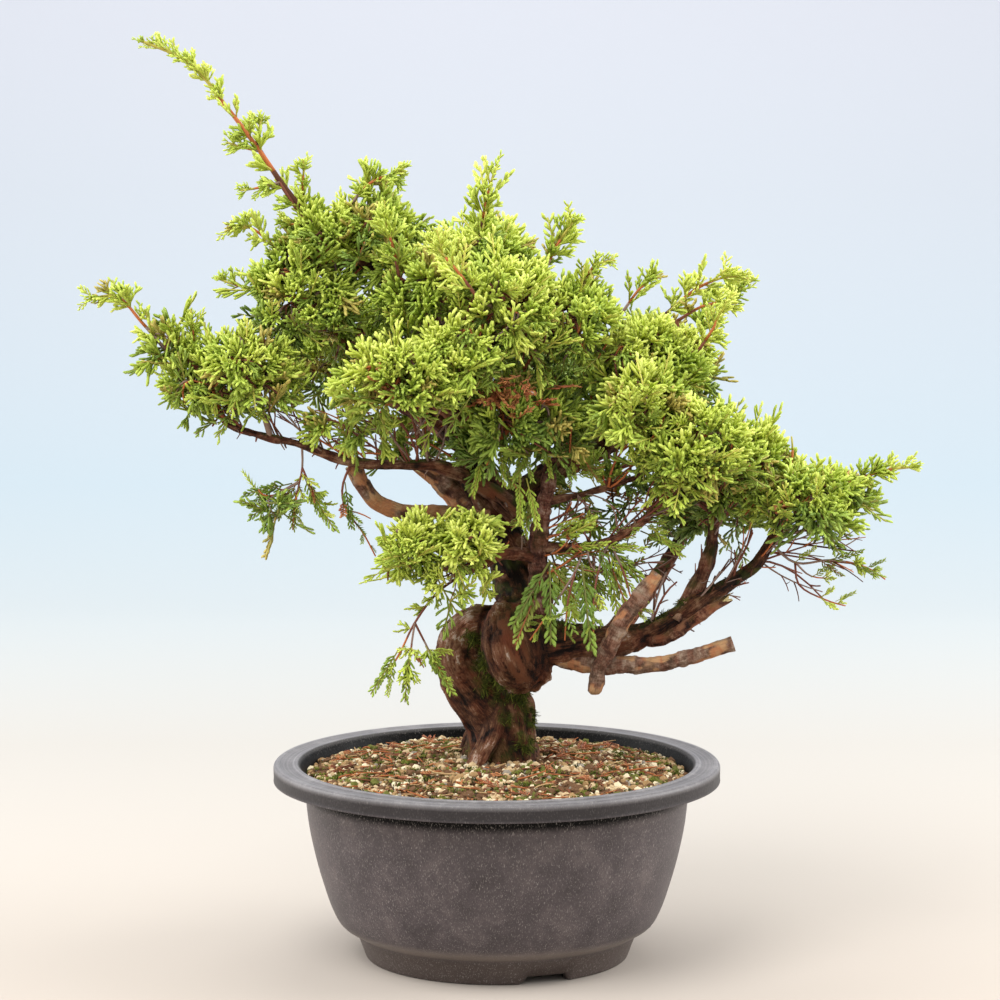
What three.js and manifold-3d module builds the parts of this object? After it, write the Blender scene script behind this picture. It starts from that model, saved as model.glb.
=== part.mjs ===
// A shimpaku juniper trained as a small informal bonsai, standing in a round plastic training pot.
// Lengths are millimetres and +Z is up. The origin is the middle of the pot's underside.
import * as THREE from "three";
import { mergeVertices } from "three/addons/utils/BufferGeometryUtils.js";
import Module from "manifold-3d";

const wasm = await Module();
wasm.setup();

// Driving dimensions of the pot: a 250 mm rim on a bowl 110 mm high.
const RIM_RADIUS = 125;
const RIM_INNER_RADIUS = 110;
const POT_HEIGHT = 110;
const RIM_DEPTH = 9.5;
const FOOT_RADIUS = 73.5;
const FOOT_HEIGHT = 15.5;
const UNDERSIDE_HEIGHT = 6;
const FLOOR_HEIGHT = 9;
const FOOT_PAD_RADIUS = 13;
const POT_SEGMENTS = 28;
const DRAIN_HOLES = 5;
const DRAIN_RADIUS = 6.5;
const DRAIN_CIRCLE = 44;
const FOOT_NOTCHES = 3;
const NOTCH_WIDTH = 25;
const NOTCH_HEIGHT = 4.6;
const FIRST_NOTCH_DEGREES = -68.5;

// The soil fills the bowl to just under the rim and rises a little to a level seat round the trunk.
const SOIL_EDGE_HEIGHT = 103.6;
const SEAT_HEIGHT = 110.4;
const SEAT_RADIUS = 39;

// Its grains lie in low clods: how high these stand and how far apart.
const CLOD_HEIGHT = 1.1;
const CLOD_SPACING = 21;

// Neighbouring solids stay this far apart.
const GAP = 0.35;
const GROUND_HEIGHT = SEAT_HEIGHT + GAP;

// Wood: how many sides a limb's section has. A thick limb also has two rings for each span of its route.
const TRUNK_SIDES = 9;
const BOUGH_SIDES = 6;
const TWIG_SIDES = 3;
const THICK_LIMB = 11;

// A spray is a flat fan of foliage with three teeth. It stands for a tuft of cord-like branchlets.
const SPRAY_LENGTH = 32;
const SPRAY_WIDTH = 27;
const SPRAY_THICKNESS = 4;
const AREA_PER_SPRAY = 1850;
const OPEN_TWIG_SHARE = 0.9;
const SHOOT_SPRAY_SPACING = 12;
const CORE_TUFT_REACH = 0.94;
const CORE_UNEVENNESS = 0.12;
const SEED = 4071;

const COLOURS = {
  pot: 0x4c474a,
  soil: 0xb59f7d,
  bark: 0x70483a,
  redBark: 0x84473c,
  deadwood: 0xb49b7a,
  bright: 0x9fc63f,
  green: 0x7faa38,
  dark: 0x557f2a,
  bluish: 0x5f8f5a,
};

// The trunk as tapering stretches, each a list of [x, y, z, radius]. It leaves the ground, leans left, coils
// over and forward into a heavy lobe, and then climbs behind the lobe to the top of the crown.
const TRUNK_STRETCHES = {
  column: [
    [5, 12, 104, 21],
    [0, 11, 130, 18.5],
    [-13, 9, 153, 16.5],
    [-20, 8, 170, 14],
    [-15, 5, 182, 12],
    [-2, -2, 187, 12],
  ],
  leader: [
    [8, -4, 184, 13],
    [13, 2, 196, 14.5],
    [12, 8, 211, 13.5],
    [6, 13, 228, 13.5],
    [-2, 16, 250, 11.5],
    [-12, 17, 272, 10],
    [-16, 16, 297, 8.5],
    [-14, 13, 323, 7],
    [-9, 11, 348, 5.2],
    [-9, 8, 373, 3.4],
  ],
};

// The lobe of the coil, an egg by its middle, half sizes and lean.
const COIL_LOBE = { at: [11, -11, 177.5], size: [20.5, 20, 26.5], leanDegrees: 14 };

// Root flare: each root runs out and down from the foot of the trunk to where the ground cuts it.
const ROOTS = [
  [
    [4, 2, 146, 7],
    [-3, -6, 126, 6.5],
    [-14, -15, 106, 4.5],
  ],
  [
    [-6, 12, 130, 8],
    [-13, 16, 114, 6],
    [-18, 20, 104, 4],
  ],
  [
    [8, 4, 148, 9],
    [11, 2, 135, 11],
    [11, 2, 118, 11],
    [13, 3, 104, 10],
  ],
  [
    [6, 18, 136, 9],
    [12, 28, 118, 8],
    [17, 36, 104, 5],
  ],
  [
    [-6, 18, 134, 8],
    [-14, 26, 116, 6],
    [-20, 32, 104, 4],
  ],
];

// Boughs and cut stubs, each one tapering limb given by [x, y, z, radius] from its root to its tip.
const LIMBS = {
  bough_right: [
    [20, -11, 178, 13.5],
    [43, -13, 178, 11],
    [64, -11, 179, 8.9],
    [83, -8, 183, 7.2],
    [95, -6, 189, 6.5],
    [108, -3, 197, 5.8],
    [119, -1, 204, 4.6],
    [133, 1, 212, 3.9],
    [145, 3, 221, 3.5],
    [152, 5, 232, 3.1],
    [158, 5, 242, 2.8],
    [163, 5, 256, 2.4],
  ],
  leader_cut: [
    [25, -6, 202, 7],
    [23, -9, 225, 6.1],
    [23, -10, 233, 6.2],
    [25, -10, 250, 4.4],
    [28, -10, 264, 4.1],
    [30, -9, 282, 3.9],
  ],
  bough_left: [
    [12, 6, 249, 6],
    [-9, -4, 266, 4.7],
    [-31, -11, 277, 3.6],
    [-54, -15, 278, 2.9],
    [-84, -17, 281, 2.7],
    [-108, -18, 290, 2.6],
    [-141, -17, 298, 2.3],
    [-153, -16, 305, 2],
  ],
  stub_back_left: [
    [5, 14, 233, 9],
    [-14, 20, 249, 8.5],
    [-29, 22, 264, 7.6],
    [-41, 23, 272, 5],
  ],
  stub_left: [
    [-6, 0, 245, 5.4],
    [-31, -6, 251, 4.4],
    [-54, -10, 252, 4.5],
    [-66, -11, 257, 4.9],
    [-72, -12, 264, 4.8],
    [-80, -13, 278, 4.2],
  ],
  bough_right_riser: [
    [106, -1, 197, 5.8],
    [112, 4, 209, 5.6],
    [118, 8, 222, 4.8],
    [121, 11, 240, 3.7],
    [120, 12, 256, 3],
    [116, 12, 275, 2.5],
  ],
  stub_right: [
    [27, -13, 174, 6.4],
    [51, -19, 168, 5.6],
    [70, -23, 168, 4.8],
    [88, -26, 169, 4.5],
    [105, -28, 173, 4.2],
    [118, -29, 177, 4.1],
    [130, -29, 181, 4.1],
  ],
  stub_front: [
    [54, -30, 153, 2],
    [54, -30, 155, 3.8],
    [55, -29.5, 160, 4.7],
    [57, -29.5, 170, 4.9],
    [62, -30, 180, 5],
    [68, -31, 192, 5.2],
    [76, -32, 204, 4.9],
    [84, -32, 215, 4.2],
    [88, -31, 220, 3.9],
  ],
  snag_right: [
    [86, -12, 178, 4],
    [98, -14, 184, 3.8],
    [110, -14, 192, 3.4],
    [121, -12, 199, 2.8],
    [128, -11, 203, 2.2],
  ],
  bough_mid_right: [
    [24, -10, 232, 3.6],
    [43, -12, 232, 2.9],
    [60, -12, 235, 2.6],
    [76, -10, 243, 2.3],
    [95, -6, 259, 2],
  ],
  bough_thin_right: [
    [27, -9, 257, 2.2],
    [50, -8, 262, 1.8],
    [71, -4, 268, 1.5],
    [89, 0, 275, 1.2],
  ],
  bough_inner_right: [
    [1, 16, 248, 8.5],
    [19, 26, 261, 8],
    [41, 32, 275, 7],
    [65, 33, 287, 6],
    [87, 30, 308, 4.8],
    [108, 26, 332, 3.4],
  ],
  bough_left_upper: [
    [-14, 14, 285, 7],
    [-34, 8, 302, 5.6],
    [-56, 2, 321, 4.6],
    [-78, -3, 340, 3.6],
    [-95, -5, 355, 2.6],
  ],
  bough_top_left: [
    [-13, 12, 326, 5.5],
    [-32, 8, 351, 4.6],
    [-54, 5, 373, 3.8],
    [-74, 3, 389, 3],
    [-91, 2, 398, 2.3],
  ],
  bough_front: [
    [-15, 12, 296, 6],
    [-25, -12, 307, 5],
    [-36, -32, 317, 4],
    [-46, -46, 323, 2.8],
  ],
  bough_top_right: [
    [-10, 10, 343, 4.6],
    [10, 2, 349, 3.8],
    [29, -4, 352, 3],
    [40, -6, 355, 2.4],
  ],
  bough_back: [
    [-7, 20, 262, 7.5],
    [-11, 48, 277, 6.4],
    [-17, 78, 297, 5],
    [-23, 98, 319, 3.6],
  ],
  bough_back_left: [
    [-15, 20, 289, 5.6],
    [-38, 45, 297, 4.8],
    [-62, 68, 308, 3.8],
    [-83, 82, 317, 2.8],
  ],
  bough_back_right: [
    [13, 30, 259, 5.4],
    [36, 58, 269, 4.8],
    [60, 82, 282, 3.8],
    [83, 98, 297, 2.8],
  ],
  bough_low_back: [
    [63, -4, 179, 6.5],
    [81, 30, 197, 5.6],
    [98, 54, 216, 4.4],
    [111, 70, 237, 3.2],
  ],
  bough_low_left: [
    [19, -10, 227, 3.4],
    [4, -16, 229, 2.8],
    [-10, -24, 223, 2.3],
    [-23, -30, 220, 1.9],
  ],
};

const DEAD_LIMBS = ["stub_back_left", "stub_left", "stub_right", "stub_front", "snag_right"];

// Foliage masses. Each grows on one stem from a point on the wood, "start". A lobe is an ellipsoid of sprays
// by its middle and half sizes, with a smaller solid core where the foliage is dense. A shoot is a long twig
// with sprays along it.
const MASSES = {
  far_left: {
    colour: "green",
    start: [-150, -16, 304],
    lobes: [
      { at: [-162, -16, 326], size: [24, 24, 27], core: 0.5 },
      { at: [-179, -14, 348], size: [15, 15, 14], core: 0 },
    ],
    shoots: [
      [[-178, -14, 344], [-204, -12, 359], [-232, -10, 369]],
      [[-167, -18, 338], [-166, -20, 354], [-168, -20, 368]],
    ],
  },
  left_middle: {
    colour: "bright",
    start: [-124, -18, 293],
    lobes: [{ at: [-135, -26, 333], size: [32, 27, 29], core: 0.6 }],
  },
  left_ball: {
    colour: "green",
    start: [-96, -5, 356],
    lobes: [{ at: [-105, -6, 369], size: [32, 34, 34], core: 0.7 }],
    shoots: [
      [[-125, -6, 396], [-140, -7, 404], [-156, -8, 407]],
      [[-129, -6, 373], [-144, -6, 377], [-158, -6, 382]],
    ],
  },
  top_left: {
    colour: "green",
    start: [-92, 2, 399],
    lobes: [
      { at: [-97, 4, 397], size: [27, 32, 24], core: 0.66 },
      { at: [-67, 6, 405], size: [27, 32, 27], core: 0.68 },
    ],
    shoots: [
      [[-92, 2, 402], [-114, 0, 427], [-130, -2, 450], [-147, -4, 473], [-168, -5, 498], [-199, -6, 512]],
      [[-81, 0, 420], [-69, -2, 433], [-47, -4, 440]],
    ],
  },
  crown_left: {
    colour: "green",
    start: [-13, 12, 327],
    lobes: [{ at: [-38, -10, 371], size: [31, 34, 33], core: 0.68 }],
  },
  top: {
    colour: "green",
    start: [-9, 8, 372],
    lobes: [{ at: [-10, 8, 392], size: [25, 30, 19], core: 0.66 }],
    shoots: [[[-10, 6, 398], [-6, 4, 422], [1, 4, 447]]],
  },
  crown_middle: {
    colour: "bright",
    start: [2, 5, 348],
    lobes: [{ at: [3, -26, 363], size: [35, 34, 36], core: 0.7 }],
  },
  crown_right: {
    colour: "green",
    start: [39, -6, 354],
    lobes: [{ at: [40, -8, 355], size: [31, 34, 30], core: 0.7 }],
    shoots: [
      [[26, -6, 378], [34, -6, 397], [46, -6, 415]],
      [[50, 0, 372], [60, 0, 381], [71, 0, 386]],
      [[60, -4, 362], [78, -4, 372], [96, -4, 381]],
    ],
  },
  front_bright: {
    colour: "bright",
    start: [-46, -46, 323],
    lobes: [
      { at: [-52, -56, 332], size: [38, 27, 24], core: 0.6 },
      { at: [-24, -50, 343], size: [25, 24, 22], core: 0.56 },
    ],
  },
  left_under: {
    colour: "green",
    start: [-84, -17, 281],
    lobes: [{ at: [-82, -24, 302], size: [28, 21, 14], core: 0.45 }],
  },
  centre_open: {
    colour: "dark",
    start: [-11, 17, 276],
    lobes: [{ at: [12, -16, 304], size: [42, 24, 30], core: 0.3 }],
  },
  right_middle: {
    colour: "bright",
    start: [107, 26, 331],
    lobes: [
      { at: [79, -2, 336], size: [36, 34, 30], core: 0.7 },
      { at: [103, 14, 336], size: [18, 26, 19], core: 0.56 },
    ],
    shoots: [
      [[108, 24, 340], [122, 24, 354], [142, 22, 365]],
      [[88, 6, 352], [104, 6, 366], [128, 4, 372]],
    ],
  },
  right_front: {
    colour: "bright",
    start: [94, -6, 259],
    lobes: [
      { at: [107, -30, 289], size: [37, 32, 32], core: 0.68 },
      { at: [78, -36, 314], size: [26, 26, 26], core: 0.6 },
    ],
  },
  right_pad: {
    colour: "green",
    start: [116, 12, 275],
    lobes: [{ at: [131, 8, 277], size: [36, 35, 31], core: 0.7 }],
  },
  far_right: {
    colour: "green",
    start: [163, 5, 255],
    lobes: [
      { at: [168, -6, 260], size: [34, 33, 23], core: 0.66 },
      { at: [194, 6, 262], size: [18, 20, 15], core: 0 },
    ],
    shoots: [
      [[196, 4, 266], [214, 2, 273], [236, 0, 276]],
      [[163, 0, 274], [164, 0, 284], [163, 0, 296]],
    ],
  },
  low_right: {
    colour: "green",
    start: [151, 5, 234],
    shoots: [
      [[151, 5, 234], [166, 0, 222], [186, -4, 224], [205, -4, 220], [219, -4, 211]],
      [[166, 0, 222], [176, 10, 213], [192, 14, 211]],
      [[166, 0, 222], [168, -2, 210], [184, -2, 201], [198, -2, 197]],
    ],
  },
  low_left: {
    colour: "bright",
    start: [-23, -30, 220],
    lobes: [{ at: [-34, -42, 238], size: [36, 29, 22], core: 0.6 }],
  },
  hanging_low: {
    colour: "green",
    start: [-10, -24, 223],
    shoots: [
      [[-10, -24, 223], [-31, -30, 211], [-45, -32, 193], [-54, -33, 175], [-66, -34, 157]],
      [[-45, -32, 193], [-47, -36, 179], [-49, -36, 154]],
      [[-45, -32, 193], [-36, -30, 175], [-25, -30, 156]],
    ],
  },
  hanging_left: {
    colour: "green",
    start: [-107, -18, 289],
    lobes: [{ at: [-124, -18, 261], size: [17, 14, 13], core: 0 }],
    shoots: [
      [[-107, -18, 289], [-107, -18, 277], [-110, -18, 262], [-112, -18, 243]],
      [[-107, -18, 277], [-102, -20, 266], [-92, -22, 243]],
    ],
  },
  hanging_middle: {
    colour: "dark",
    start: [-80, -17, 280],
    shoots: [
      [[-80, -17, 280], [-85, -19, 266], [-83, -20, 254], [-74, -21, 242], [-65, -22, 225]],
      [[-83, -20, 254], [-74, -24, 252], [-66, -26, 248]],
    ],
  },
  needles_front: {
    colour: "dark",
    start: [48, -12, 231],
    shoots: [
      [[48, -12, 231], [43, -24, 220], [32, -32, 204], [16, -37, 181]],
      [[43, -24, 220], [39, -33, 205], [37, -36, 180]],
    ],
  },
  needles_right: {
    colour: "green",
    start: [62, -12, 236],
    shoots: [
      [[62, -12, 236], [56, -24, 221], [53, -34, 205], [53, -39, 180]],
      [[62, -12, 236], [70, -20, 219], [75, -26, 203], [83, -26, 192]],
    ],
  },
  inner_right: {
    colour: "dark",
    start: [62, 33, 286],
    lobes: [{ at: [64, 18, 264], size: [38, 28, 27], core: 0.3 }],
  },
  back_centre: {
    colour: "green",
    start: [-23, 98, 319],
    lobes: [{ at: [-24, 95, 339], size: [42, 34, 36], core: 0.7 }],
  },
  back_left: {
    colour: "green",
    start: [-83, 82, 317],
    lobes: [{ at: [-87, 82, 337], size: [42, 36, 33], core: 0.7 }],
  },
  back_right: {
    colour: "bluish",
    start: [83, 98, 297],
    lobes: [{ at: [89, 92, 321], size: [41, 34, 33], core: 0.7 }],
    shoots: [[[112, 90, 340], [127, 88, 358], [150, 86, 377]]],
  },
  back_low_right: {
    colour: "bluish",
    start: [111, 70, 237],
    lobes: [{ at: [124, 70, 254], size: [37, 34, 27], core: 0.66 }],
  },
  back_top: {
    colour: "green",
    start: [-10, 11, 351],
    lobes: [{ at: [-10, 54, 383], size: [40, 32, 32], core: 0.68 }],
  },
  back_low_left: {
    colour: "dark",
    start: [-38, 45, 297],
    lobes: [{ at: [-54, 72, 282], size: [35, 32, 20], core: 0 }],
  },
  back_middle: {
    colour: "bluish",
    start: [37, 60, 269],
    lobes: [{ at: [34, 76, 308], size: [42, 34, 34], core: 0.68 }],
  },
};

// Joining and cutting: a closed geometry as a solid, and a solid as a geometry again. A join or cut leaves no
// edge shorter than this.
const SHORTEST_EDGE = 0.02;

function solidOf(geometry) {
  return new wasm.Manifold(
    new wasm.Mesh({
      numProp: 3,
      vertProperties: new Float32Array(geometry.attributes.position.array),
      triVerts: new Uint32Array(geometry.index.array),
      tolerance: SHORTEST_EDGE,
    }),
  );
}

function solidOfPrimitive(primitive) {
  primitive.deleteAttribute("normal");
  primitive.deleteAttribute("uv");
  return solidOf(mergeVertices(primitive, 1e-4));
}

function geometryOf(solid) {
  const mesh = solid.getMesh();
  const geometry = new THREE.BufferGeometry();
  const positions = new Float32Array(mesh.numVert * 3);
  for (let i = 0; i < mesh.numVert; i++) {
    const start = i * mesh.numProp;
    positions.set(mesh.vertProperties.subarray(start, start + 3), i * 3);
  }
  geometry.setAttribute("position", new THREE.BufferAttribute(positions, 3));
  geometry.setIndex(new THREE.BufferAttribute(new Uint32Array(mesh.triVerts), 1));
  geometry.computeVertexNormals();
  return geometry;
}

// Only the largest body is kept, so a scrap that a cut leaves behind is dropped.
function largestBody(solid) {
  const bodies = solid.decompose();
  bodies.sort((a, b) => b.volume() - a.volume());
  return bodies[0];
}

function boxesMeet(a, b) {
  const boxA = a.boundingBox();
  const boxB = b.boundingBox();
  return [0, 1, 2].every((k) => boxA.min[k] <= boxB.max[k] && boxB.min[k] <= boxA.max[k]);
}

function touches(a, b) {
  return boxesMeet(a, b) && a.intersect(b).volume() > 1e-6;
}

function cutBy(solid, cutters) {
  const near = cutters.filter((cutter) => boxesMeet(solid, cutter));
  return near.length ? solid.subtract(wasm.Manifold.union(near)) : solid;
}

// A limb: rings of a round section carried along a smooth curve through [x, y, z, radius] points, closed
// flat at both ends. "extra" is added to every radius and to both ends.
function limbSolid(route, sides, extra = 0) {
  const points = route.map(([x, y, z]) => new THREE.Vector3(x, y, z));
  const curve = new THREE.CatmullRomCurve3(points, false, "centripetal");
  const spans = points.length - 1;
  const rings = route[0][3] > THICK_LIMB ? 2 * spans : spans;
  const frames = curve.computeFrenetFrames(rings, false);
  const positions = [];
  for (let i = 0; i <= rings; i++) {
    const along = curve.getUtoTmapping(i / rings) * spans;
    const span = Math.min(Math.floor(along), spans - 1);
    const radius = THREE.MathUtils.lerp(route[span][3], route[span + 1][3], along - span) + extra;
    const centre = curve.getPointAt(i / rings);
    if (i === 0) centre.addScaledVector(frames.tangents[i], -extra);
    if (i === rings) centre.addScaledVector(frames.tangents[i], extra);
    for (let j = 0; j < sides; j++) {
      const angle = (2 * Math.PI * j) / sides;
      const spoke = frames.normals[i].clone().multiplyScalar(Math.cos(angle) * radius);
      spoke.addScaledVector(frames.binormals[i], Math.sin(angle) * radius).add(centre);
      positions.push(spoke.x, spoke.y, spoke.z);
    }
  }
  const index = [];
  for (let i = 0; i < rings; i++) {
    for (let j = 0; j < sides; j++) {
      const a = i * sides + j;
      const b = i * sides + ((j + 1) % sides);
      index.push(a, b, a + sides, b, b + sides, a + sides);
    }
  }
  const lastRing = rings * sides;
  for (let j = 1; j < sides - 1; j++) {
    index.push(0, j + 1, j);
    index.push(lastRing, lastRing + j, lastRing + j + 1);
  }
  const geometry = new THREE.BufferGeometry();
  geometry.setAttribute("position", new THREE.Float32BufferAttribute(positions, 3));
  geometry.setIndex(index);
  return solidOf(geometry);
}

function twigSolid({ points, thick, thin }, extra = 0) {
  const last = points.length - 1;
  const route = points.map((point, i) => [...point, THREE.MathUtils.lerp(thick, thin, i / last)]);
  return limbSolid(route, TWIG_SIDES, extra);
}

// A spray: a fan with three teeth, ridged on both faces so that it is thick in its middle and sharp at its rim.
// Its outline is given in shares of its length and width.
const SPRAY_OUTLINE = [
  [0, 0],
  [0.68, -0.5],
  [0.55, -0.15],
  [1, 0],
  [0.55, 0.15],
  [0.68, 0.5],
];
const SPRAY_RIDGE = 0.38;

function spraySolid(spray, grow = 0) {
  const along = spray.direction;
  const across = new THREE.Vector3().crossVectors(along, spray.side).normalize();
  const out = new THREE.Vector3().crossVectors(along, across);
  const positions = [];
  const addPoint = (a, b, c) => {
    const point = spray.root.clone().addScaledVector(along, a * (spray.length + 2 * grow) - grow);
    point.addScaledVector(across, b * (spray.width + 2 * grow));
    point.addScaledVector(out, c * (SPRAY_THICKNESS / 2 + grow));
    positions.push(point.x, point.y, point.z);
  };
  SPRAY_OUTLINE.forEach(([a, b]) => addPoint(a, b, 0));
  addPoint(SPRAY_RIDGE, 0, 1);
  addPoint(SPRAY_RIDGE, 0, -1);
  const count = SPRAY_OUTLINE.length;
  const index = [];
  for (let i = 0; i < count; i++) {
    const next = (i + 1) % count;
    index.push(i, next, count);
    index.push(next, i, count + 1);
  }
  const geometry = new THREE.BufferGeometry();
  geometry.setAttribute("position", new THREE.Float32BufferAttribute(positions, 3));
  geometry.setIndex(index);
  return solidOf(geometry);
}

// A repeatable stream of random numbers from 0 to 1.
function seededRandom(seed) {
  let state = seed >>> 0;
  return () => {
    state = (state + 0x6d2b79f5) >>> 0;
    let mixed = Math.imul(state ^ (state >>> 15), 1 | state);
    mixed = (mixed + Math.imul(mixed ^ (mixed >>> 7), 61 | mixed)) ^ mixed;
    return ((mixed ^ (mixed >>> 14)) >>> 0) / 4294967296;
  };
}

// The pot: a turned bowl with a heavy flat rim, on a foot ring with notches and a small pad in its middle.

function revolved(profile, segments) {
  const points = profile.map(([radius, height]) => new THREE.Vector2(radius, height));
  const lathe = new THREE.LatheGeometry(points, segments);
  lathe.rotateX(Math.PI / 2);
  return solidOfPrimitive(lathe);
}

function potSolid() {
  const profile = [
    [0, 0],
    [FOOT_PAD_RADIUS, 0],
    [FOOT_PAD_RADIUS + 1, UNDERSIDE_HEIGHT],
    [FOOT_RADIUS - 4.5, UNDERSIDE_HEIGHT],
    [FOOT_RADIUS - 3.5, 0],
    [FOOT_RADIUS, 0],
    [FOOT_RADIUS + 5, FOOT_HEIGHT],
    [82, FOOT_HEIGHT],
    [87, 18.5],
    [91.5, 26],
    [97, 40],
    [102, 59],
    [106, 81],
    [108.4, POT_HEIGHT - RIM_DEPTH],
    [RIM_RADIUS - 0.8, POT_HEIGHT - RIM_DEPTH],
    [RIM_RADIUS, POT_HEIGHT - RIM_DEPTH + 1],
    [RIM_RADIUS, POT_HEIGHT - 1.3],
    [RIM_RADIUS - 1.5, POT_HEIGHT],
    [RIM_INNER_RADIUS + 1.4, POT_HEIGHT],
    [RIM_INNER_RADIUS, POT_HEIGHT - 1.3],
    [RIM_INNER_RADIUS - 4.6, POT_HEIGHT - 12],
    [99, 59],
    [88, 26],
    [78, 19],
    [75, FLOOR_HEIGHT],
    [0, FLOOR_HEIGHT],
  ];
  const cutters = [];
  for (let i = 0; i < FOOT_NOTCHES; i++) {
    const angle = THREE.MathUtils.degToRad(FIRST_NOTCH_DEGREES + (i * 360) / FOOT_NOTCHES);
    const notch = new THREE.BoxGeometry(20, NOTCH_WIDTH, 2 * NOTCH_HEIGHT);
    notch.translate(FOOT_RADIUS, 0, 0);
    notch.rotateZ(angle);
    cutters.push(solidOfPrimitive(notch));
  }
  for (let i = 0; i < DRAIN_HOLES; i++) {
    const hole = new THREE.CylinderGeometry(DRAIN_RADIUS, DRAIN_RADIUS, 3 * FLOOR_HEIGHT, 8);
    hole.rotateX(Math.PI / 2);
    hole.translate(DRAIN_CIRCLE, 0, FLOOR_HEIGHT / 2);
    hole.rotateZ((2 * Math.PI * i) / DRAIN_HOLES);
    cutters.push(solidOfPrimitive(hole));
  }
  return revolved(profile, POT_SEGMENTS).subtract(wasm.Manifold.union(cutters));
}

// The height of the soil's top at a radius: level on the seat, and then falling gently to the wall.
function soilHeight(radius) {
  const slope = [
    [SEAT_RADIUS, SEAT_HEIGHT],
    [58, SOIL_EDGE_HEIGHT + 4.7],
    [80, SOIL_EDGE_HEIGHT + 2.2],
    [107.5, SOIL_EDGE_HEIGHT],
  ];
  const span = Math.max(1, slope.findIndex(([far]) => radius <= far));
  const [near, nearHeight] = slope[span - 1];
  const [far, farHeight] = slope[span];
  return THREE.MathUtils.mapLinear(radius, near, far, nearHeight, farHeight);
}

// The soil lies in the bowl, one gap clear of its wall and floor, and its top swells and dips between clods.
function soilSolid() {
  const wall = [
    [75, FLOOR_HEIGHT],
    [78, 19],
    [88, 26],
    [99, 59],
    [RIM_INNER_RADIUS - 4.6, POT_HEIGHT - 12],
    [107.5, SOIL_EDGE_HEIGHT],
  ];
  const clodRings = [98, 88, 78, 68, 58, 48].map((radius) => [radius, soilHeight(radius)]);
  const profile = [
    [0, FLOOR_HEIGHT + GAP],
    ...wall.map(([radius, height]) => [radius - 1.4 * GAP, height + GAP]),
    ...clodRings,
    [SEAT_RADIUS, SEAT_HEIGHT],
    [0, SEAT_HEIGHT],
  ];
  const points = profile.map(([radius, height]) => new THREE.Vector2(radius, height));
  const soilBody = new THREE.LatheGeometry(points, POT_SEGMENTS).rotateX(Math.PI / 2);
  const corners = soilBody.attributes.position;
  const isClod = (radius) => clodRings.some(([ring]) => Math.abs(ring - radius) < 0.1);
  const wave = (2 * Math.PI) / CLOD_SPACING;
  for (let i = 0; i < corners.count; i++) {
    const [x, y, z] = [corners.getX(i), corners.getY(i), corners.getZ(i)];
    if (!isClod(Math.hypot(x, y)) || z < POT_HEIGHT / 2) continue;
    const swell = Math.sin(wave * x + 0.7) * Math.sin(wave * y + 0.3);
    corners.setZ(i, z + (CLOD_HEIGHT / 2) * swell);
  }
  return solidOfPrimitive(soilBody);
}

function coilLobeSolid(extra = 0) {
  const egg = new THREE.SphereGeometry(1, 10, 7);
  egg.rotateX(Math.PI / 2);
  egg.scale(...COIL_LOBE.size.map((half) => half + extra));
  egg.rotateY(THREE.MathUtils.degToRad(-COIL_LOBE.leanDegrees));
  egg.translate(...COIL_LOBE.at);
  return solidOfPrimitive(egg);
}

// All that makes up the trunk, each radius larger by "extra".
function trunkPieces(extra = 0) {
  const stretches = Object.values(TRUNK_STRETCHES).map((route) => limbSolid(route, TRUNK_SIDES, extra));
  const roots = ROOTS.map((route) => limbSolid(route, BOUGH_SIDES, extra));
  return wasm.Manifold.union([...stretches, ...roots, coilLobeSolid(extra)]);
}

// The trunk is cut flat where it stands on the soil.
function trunkSolid() {
  const below = new THREE.BoxGeometry(160, 160, 40);
  below.translate(0, 0, GROUND_HEIGHT - 20);
  return largestBody(trunkPieces().subtract(solidOfPrimitive(below)));
}

// How far a point lies from a lobe's middle, in shares of the lobe's half size.
function lobeDistance(lobe, point) {
  return Math.hypot(
    (point.x - lobe.at[0]) / lobe.size[0],
    (point.y - lobe.at[1]) / lobe.size[1],
    (point.z - lobe.at[2]) / lobe.size[2],
  );
}

function nearestLobe(lobes, point) {
  return Math.min(Infinity, ...lobes.map((lobe) => lobeDistance(lobe, point)));
}

// A mass keeps to its own space: a point belongs to it while none of the other masses' lobes is nearer.
function ownsPoint(own, others, point, limit) {
  return nearestLobe(others, point) > Math.min(nearestLobe(own, point), limit);
}

// The corners of a subdivided icosahedron that were there before it was divided: those where five faces meet.
function mainCorners(geometry) {
  const faces = new Array(geometry.attributes.position.count).fill(0);
  geometry.index.array.forEach((corner) => {
    faces[corner] += 1;
  });
  return new Set(faces.keys().filter((corner) => faces[corner] === 5));
}

// The dense heart of a lobe: a ball whose twelve main corners stand out as tufts, pulled in wherever it would
// leave the mass's own space. Its clearance is the same ball a little larger, to cut other masses' cores with.
function coreSolids(lobe, others, random) {
  const ball = new THREE.IcosahedronGeometry(1, 1);
  ball.deleteAttribute("normal");
  ball.deleteAttribute("uv");
  const core = mergeVertices(ball, 1e-4);
  const larger = core.clone();
  const corners = core.attributes.position;
  const point = new THREE.Vector3();
  const middle = new THREE.Vector3(...lobe.at);
  const reach = new THREE.Vector3(...lobe.size);
  const tufts = mainCorners(core);
  for (let i = 0; i < corners.count; i++) {
    const outward = new THREE.Vector3().fromBufferAttribute(corners, i);
    let share = (tufts.has(i) ? CORE_TUFT_REACH : lobe.core) * (1 - CORE_UNEVENNESS * random());
    do {
      point.copy(outward).multiply(reach).multiplyScalar(share).add(middle);
      share *= 0.93;
    } while (share > 0.3 && !ownsPoint([lobe], others, point, 1));
    corners.setXYZ(i, point.x, point.y, point.z);
    point.addScaledVector(outward, 2 * GAP);
    larger.attributes.position.setXYZ(i, point.x, point.y, point.z);
  }
  return { solid: solidOf(core), clearance: solidOf(larger) };
}

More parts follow.
